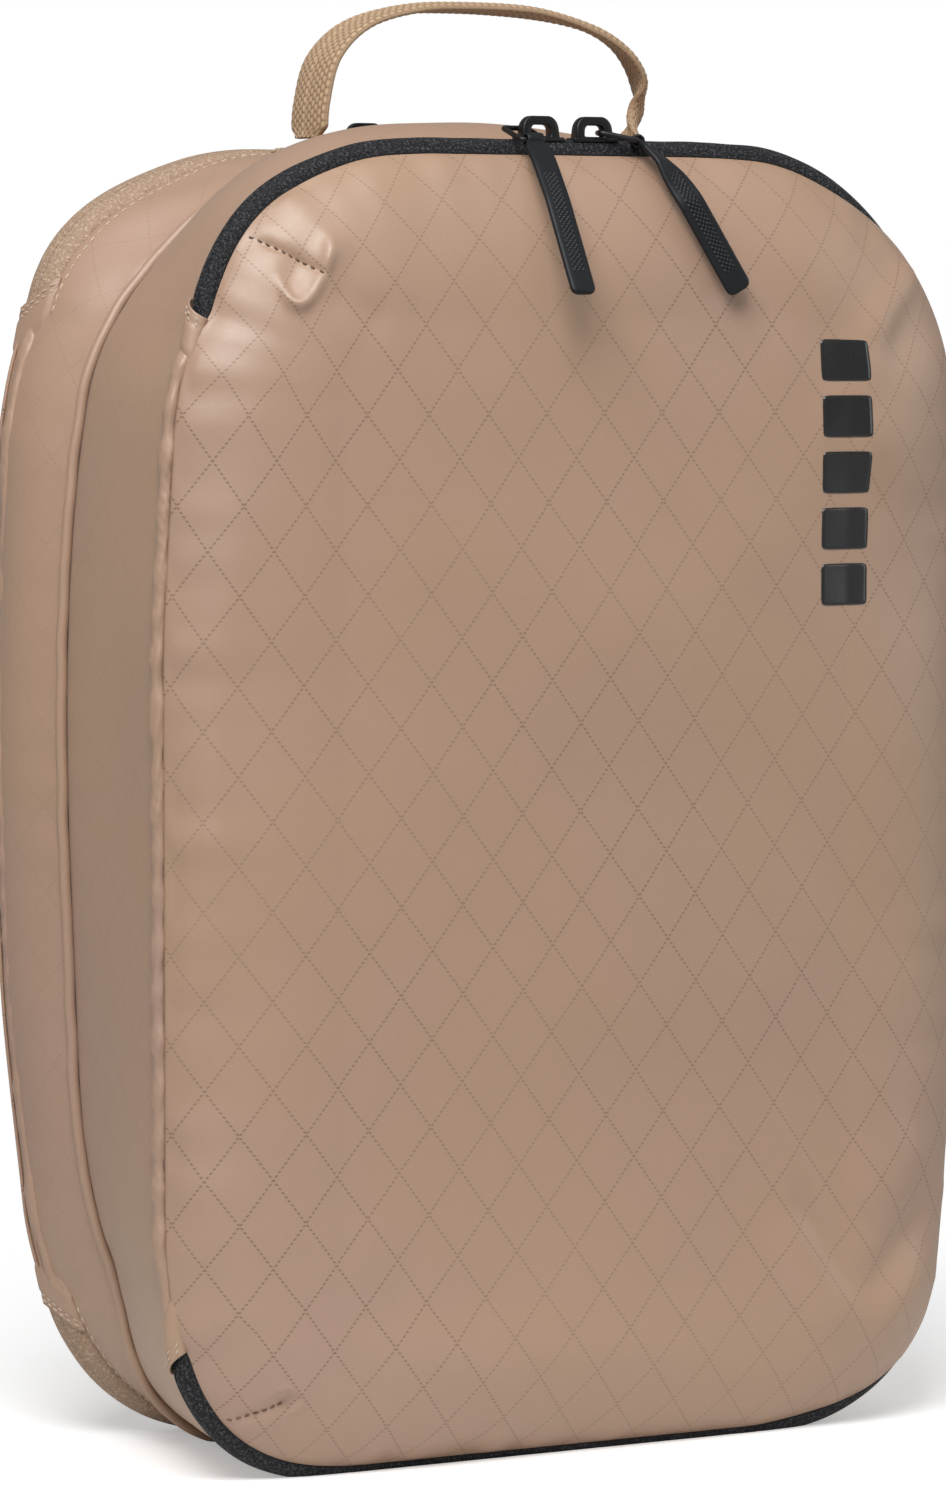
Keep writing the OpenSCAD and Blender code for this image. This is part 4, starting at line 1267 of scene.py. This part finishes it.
def block(name, height, size, bevel=0.0, segments=3):
    # A box round the middle of the slider, with all its edges rounded where a bevel is given.
    bpy.ops.object.select_all(action="DESELECT")
    bpy.ops.mesh.primitive_cube_add(size=1, location=(0, 0, height))
    piece = bpy.context.object
    piece.name = name
    piece.scale = size
    bpy.ops.object.transform_apply(location=True, rotation=True, scale=True)
    if bevel:
        rounding = piece.modifiers.new("rounding", "BEVEL")
        rounding.width = bevel
        rounding.segments = segments
        rounding.limit_method = "NONE"
        applyModifiers(piece)
    return piece


def bevelTopEdges(piece, width, segments):
    # Rounds the two top edges that run across, chosen by place.
    high = max(v.co.z for v in piece.data.vertices)
    bpy.ops.object.mode_set(mode="EDIT")
    shape = bmesh.from_edit_mesh(piece.data)
    for edge in shape.edges:
        a, b = (v.co for v in edge.verts)
        edge.select_set(abs(a.z - high) < 1e-6 and abs(b.z - high) < 1e-6 and abs(a.x - b.x) < 1e-6)
    bmesh.update_edit_mesh(piece.data)
    bpy.ops.mesh.bevel(offset=width, segments=segments, affect="EDGES")
    bpy.ops.object.mode_set(mode="OBJECT")


def dressModel(model):
    model.data.materials.clear()
    model.data.materials.append(sliderMaterial)
    bpy.ops.object.shade_smooth()
    return model


def buildSlider():
    # Built round the origin, with the face of the tapes at zero height.
    k = sliderShape
    top = block("top", 2.5 * mm, (k["length"], k["width"], k["plate"]), 0.45 * mm)
    low = block("low", -3.7 * mm, (k["length"] - 2 * mm, k["lowWidth"], k["plate"]), 0.4 * mm)
    post = block("post", -0.6 * mm, (3 * mm, 0.6 * mm, 6.2 * mm), 0.1 * mm, 1)
    for plate, narrow in ((top, 0.66), (low, 0.72)):
        for v in plate.data.vertices:
            v.co.y *= 1 - (1 - narrow) * smooth(max(0.0, abs(v.co.x) / (k["length"] / 2) - 0.3) / 0.7)
    crown = block("crown", 5.6 * mm, (k["crownLength"], k["crownWidth"] * 1.2, k["crownHeight"]))
    bevelTopEdges(crown, 3.2 * mm, 8)
    hole = block("hole", 4.95 * mm, (k["crownLength"] - 5.6 * mm, 3 * k["crownWidth"], 3.1 * mm))
    bevelTopEdges(hole, 1.4 * mm, 5)
    cut = crown.modifiers.new("eye", "BOOLEAN")
    cut.object = hole
    cut.operation = "DIFFERENCE"
    rounding = crown.modifiers.new("rounding", "BEVEL")
    rounding.width = 0.45 * mm
    rounding.segments = 3
    rounding.angle_limit = math.radians(40)
    applyModifiers(crown)
    bpy.data.objects.remove(hole)
    for v in crown.data.vertices:
        lean = max(0.0, v.co.z - 2.3 * mm) / k["crownHeight"]
        v.co.x *= 1 - 0.12 * lean
        v.co.y *= 1.15 - 0.35 * lean
    for part in (top, low, post, crown):
        part.select_set(True)
    bpy.context.view_layer.objects.active = top
    bpy.ops.object.join()
    return dressModel(top)


def buildRing():
    # Rounded rectangle of wire with its rear bar at the origin, along +X.
    k = sliderShape
    bpy.ops.object.select_all(action="DESELECT")
    bpy.ops.mesh.primitive_plane_add(size=1, location=(k["ringLength"] / 2, 0, 0))
    bpy.context.object.scale = (k["ringLength"], k["ringWidth"], 1)
    bpy.ops.object.transform_apply(location=True, rotation=True, scale=True)
    bpy.ops.object.mode_set(mode="EDIT")
    bpy.ops.mesh.select_all(action="SELECT")
    bpy.ops.mesh.bevel(offset=1.3 * mm, segments=6, affect="VERTICES")
    bpy.ops.mesh.delete(type="ONLY_FACE")
    bpy.ops.object.mode_set(mode="OBJECT")
    bpy.ops.object.convert(target="CURVE")
    bpy.context.object.data.bevel_depth = k["wire"] / 2
    bpy.context.object.data.bevel_resolution = 4
    bpy.ops.object.convert(target="MESH")
    return dressModel(bpy.context.object)


def copyPiece(model, name, placing):
    piece = link(bpy.data.objects.new(name, model.data.copy()))
    piece.data.transform(placing)
    return piece


sliderModel, ringModel = buildSlider(), buildRing()
pulls = {}
for word in ("left", "right", "back_left", "back_right"):
    low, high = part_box(word + "_slider")
    back = word.startswith("back")
    spot = Vector(((low.x + high.x) / 2, case["backZip" if back else "frontZip"], case["height"]))
    piece = copyPiece(sliderModel, word + "_slider_body", Matrix.Translation(spot))
    finishPiece(piece, word + "_slider", "slider_metal", word + "_slider")
    bar, end = (Vector(joints[word + joint]["pos_m"]) for joint in ("_ring_tilt", "_strap_swing"))
    ahead = (end - bar).normalized()
    side = Vector((0, 0, 1)).cross(ahead).normalized()
    turn = Matrix((ahead, side, ahead.cross(side))).transposed().to_4x4()
    placing = Matrix.Translation(end - ahead * sliderShape["ringLength"]) @ turn
    node = word + ("_" if back else "_pull_")
    piece = copyPiece(ringModel, word + "_ring_wire", placing)
    finishPiece(piece, word + "_ring", "slider_metal", node + "ring")
    pulls[word] = {"end": np.array(end), "bar": np.array(side), "node": node + "strap",
                   "way": 1 if back else -1}
bpy.data.objects.remove(sliderModel)
bpy.data.objects.remove(ringModel)
print("sliders and rings made")


strapShape = {
    "width": 7.5 * mm, "neckWidth": 5.4 * mm, "wall": 1.9 * mm,
    "start": 1.2 * mm, "neck": 10 * mm, "shoulder": 14 * mm, "tail": 28.5 * mm, "tip": 2.2 * mm,
    "across": 31, "step": 0.25 * mm, "knurl": 0.62 * mm, "pitch": 1.45 * mm,
    "eyeRadius": 1.52 * mm, "eyeWall": 0.46 * mm, "eyeTurns": 16, "eyeSides": 12,
    # compass heading and dip of the neck, the shoulder and the tail
    "legs": {
        "left": [(-98, 38), (-96, 50), (-88, 62)], "right": [(-66, 33), (-58, 52), (-18, 60)],
        "back_left": [(90, 50), (90, 75), (94, 84)], "back_right": [(90, 50), (88, 75), (80, 82)],
    },
}


def heading(compass, dip):
    c, d = math.radians(compass), math.radians(dip)
    return np.array([math.cos(d) * math.cos(c), math.cos(d) * math.sin(c), -math.sin(d)])


def strapLine(start, dirs):
    # Middle line of the strap from its eye, with the bends between its three legs softened.
    k = strapShape
    runs = np.array([k["neck"] - k["start"], k["shoulder"], k["tail"]])
    corners = start + np.cumsum([k["start"] * dirs[0], *(runs[:, None] * dirs)], axis=0)
    cuts = lengthsOf(corners)
    d = np.linspace(0, cuts[-1], int(runs.sum() / k["step"]))
    raw = np.stack([np.interp(d, cuts, corners[:, i]) for i in range(3)], 1)
    reach = int(3.5 * mm / k["step"])
    kernel = np.hanning(2 * reach + 1)
    steps = np.arange(1, reach + 1)[:, None]
    padded = np.vstack([raw[0] - (raw[1] - raw[0]) * steps[::-1], raw, raw[-1] + (raw[-1] - raw[-2]) * steps])
    kernel = kernel / kernel.sum()
    return d, cuts[2], np.stack([np.convolve(padded[:, i], kernel, "valid") for i in range(3)], 1)


def makeStrap(word):
    k, pull = strapShape, pulls[word]
    bar = pull["bar"] * (1 if pull["bar"][0] + pull["bar"][1] > 0 else -1)
    twisted = word == "right"
    first, last = (bar, np.array([0.94, -0.1, 0.33])) if twisted else (np.array([1.0, 0, 0]),) * 2
    dirs = np.array([heading(*leg) for leg in k["legs"][word]])
    d, bend, centre = strapLine(pull["end"], dirs)
    ahead = unit(np.gradient(centre, axis=0))
    turn = smooth(d / bend)[:, None]
    across = first * (1 - turn) + last * turn
    across = unit(across - ahead * np.sum(across * ahead, axis=1, keepdims=True))
    face = np.cross(ahead, across)
    face = face * np.sign(face[len(d) // 2, 1]) * pull["way"]
    fromEnd = d[-1] - d
    tip = np.sqrt(np.clip(1 - ((k["tip"] - fromEnd).clip(0) / k["tip"]) ** 2, 0.02, 1))
    width = k["neckWidth"] + (k["width"] - k["neckWidth"]) * smooth(d / (4 * mm)) - 2 * 1.9 * mm * (1 - tip)
    wall = k["wall"] * (0.35 + 0.65 * np.sqrt(np.clip(fromEnd / (0.9 * mm), 0.01, 1)))
    knurled = smooth((d - 13 * mm) / (0.8 * mm)) * smooth((fromEnd - 6 * mm) / (0.8 * mm))
    rows, flat = [], []
    for side in (1, -1):
        for w in np.linspace(-1, 1, k["across"])[::side]:
            lane = w * k["width"] / 2
            edge = (1 - abs(w) ** 6) ** 0.5 * 0.75 + 0.25
            knurl = np.sin(math.pi * (d + lane) / k["pitch"]) * np.sin(math.pi * (d - lane) / k["pitch"])
            emboss = smooth((0.50 - abs(w)) / 0.08) * knurled * (k["knurl"] * np.abs(knurl) - 0.1 * mm)
            off = side * (wall / 2 * edge + emboss)
            rows.append(centre + across * (w * width / 2)[:, None] + face * off[:, None])
            flat.append(np.stack([np.full_like(d, lane + (0 if side == 1 else 0.03)), d], 1))
    # the eye round the ring's bar
    turns, sides = k["eyeTurns"], k["eyeSides"]
    out = unit(dirs[0] - bar * np.dot(dirs[0], bar))
    a = np.arange(turns)[:, None, None] * 2 * math.pi / turns
    b = np.arange(sides)[:, None] * 2 * math.pi / sides
    radius = k["eyeRadius"] + k["eyeWall"] * np.sign(np.cos(b)) * np.abs(np.cos(b)) ** 0.6
    side = k["neckWidth"] / 2 * 0.96 * np.sign(np.sin(b)) * np.abs(np.sin(b)) ** 0.4
    eye = pull["end"] + (out * np.cos(a) + np.cross(bar, out) * np.sin(a)) * radius + bar * side
    faces = tubeFaces(len(rows), len(d))
    base = len(rows) * len(d)
    faces += [tuple(base + v for v in f) for f in tubeFaces(turns, sides, closed=True)]
    points, uv = np.vstack([*rows, *eye]), np.vstack([*flat, np.zeros((turns * sides, 2))])
    strap = fixNormals(meshFrom(word + "_strap_body", points, faces, rubberMaterial, uv))
    finishPiece(strap, word + "_strap", "pull_rubber", pull["node"])


for word in strapShape["legs"]:
    makeStrap(word)
print("straps made")


# Stage, light and camera.
stage = {"floor": (0.9, 0.9, 0.9), "key": 24.5, "fill": 8, "top": 7, "worldLight": 0.27, "floorGlow": 0.35,
         "nearRadius": 0.17, "farRadius": 0.42}
white = (1, 1, 1)


def floorMaterial():
    # Plain pale paint near the object that runs into an evenly lit white sweep.
    material, tree, shader = newMaterial("floorPaint", {"Base Color": stage["floor"], "Roughness": 0.85})
    length = tree.nodes.new("ShaderNodeVectorMath")
    length.operation = "LENGTH"
    feed(tree, length.inputs[0], placeNode(tree, "TexCoord", {}).outputs["Object"])
    far = mathNode(tree, "SUBTRACT", length.outputs["Value"], stage["nearRadius"])
    far = mathNode(tree, "DIVIDE", far, stage["farRadius"] - stage["nearRadius"], clamp=True)
    seen = placeNode(tree, "LightPath", {}).outputs["Is Camera Ray"]
    full = mathNode(tree, "MULTIPLY_ADD", seen, 0.6, 0.4)
    faint = mathNode(tree, "MULTIPLY", seen, stage["floorGlow"])
    sweep, glow = (placeNode(tree, "Emission", {"Color": white, "Strength": power})
                   for power in (full, faint))
    lit = placeNode(tree, "AddShader", {0: tree.nodes["Principled BSDF"].outputs[0], 1: glow.outputs[0]})
    both = placeNode(tree, "MixShader", {0: far, 1: lit.outputs[0], 2: sweep.outputs[0]})
    feed(tree, tree.nodes["Material Output"].inputs["Surface"], both.outputs[0])
    return material


bpy.ops.mesh.primitive_plane_add(size=14, location=(0, 0, 0))
floor = bpy.context.object
floor.name = "floor"
floor.data.materials.append(floorMaterial())

world = bpy.data.worlds.new("studio")
bpy.context.scene.world = world
world.use_nodes = True
sky = world.node_tree
# the camera sees plain white, while the object gets the weaker light
dim, bright = (placeNode(sky, "Background", {"Color": white, "Strength": power})
               for power in (stage["worldLight"], 1.0))
seen = placeNode(sky, "LightPath", {}).outputs["Is Camera Ray"]
both = placeNode(sky, "MixShader", {0: seen, 1: dim.outputs[0], 2: bright.outputs[0]})
feed(sky, sky.nodes["World Output"].inputs["Surface"], both.outputs[0])


def areaLight(name, place, size, power):
    data = bpy.data.lights.new(name, "AREA")
    data.shape = "RECTANGLE"
    data.size, data.size_y = size
    data.energy = power
    light = link(bpy.data.objects.new(name, data))
    light.location = place
    aim = Vector((0, 0, case["height"] / 2)) - Vector(place)
    light.rotation_euler = aim.to_track_quat("-Z", "Y").to_euler()


areaLight("keyLight", (-0.74, -0.85, 1.33), (0.85, 0.85), stage["key"])
areaLight("fillLight", (2.0, -0.9, 0.8), (1.4, 1.4), stage["fill"])
areaLight("topLight", (-0.1, -0.95, 2.1), (1.6, 1.0), stage["top"])

view = {"azimuth": -29.5, "elevation": 4.2, "distance": 1.8, "lens": 152.4, "target": (0, 0.012, 0.18),
        "shiftX": 0.002, "shiftY": 0.0277}
azimuth, elevation = math.radians(view["azimuth"]), math.radians(view["elevation"])
level = Vector((math.sin(azimuth), -math.cos(azimuth), 0))
back = level * math.cos(elevation) + Vector((0, 0, math.sin(elevation)))
cameraData = bpy.data.cameras.new("camera")
cameraData.lens = view["lens"]
cameraData.sensor_width = 36
cameraData.shift_x, cameraData.shift_y = view["shiftX"], view["shiftY"]
camera = link(bpy.data.objects.new("camera", cameraData))
camera.location = Vector(view["target"]) + back * view["distance"]
camera.rotation_euler = (-back).to_track_quat("-Z", "Y").to_euler()
bpy.context.scene.camera = camera
bpy.context.scene.view_settings.view_transform = "Standard"
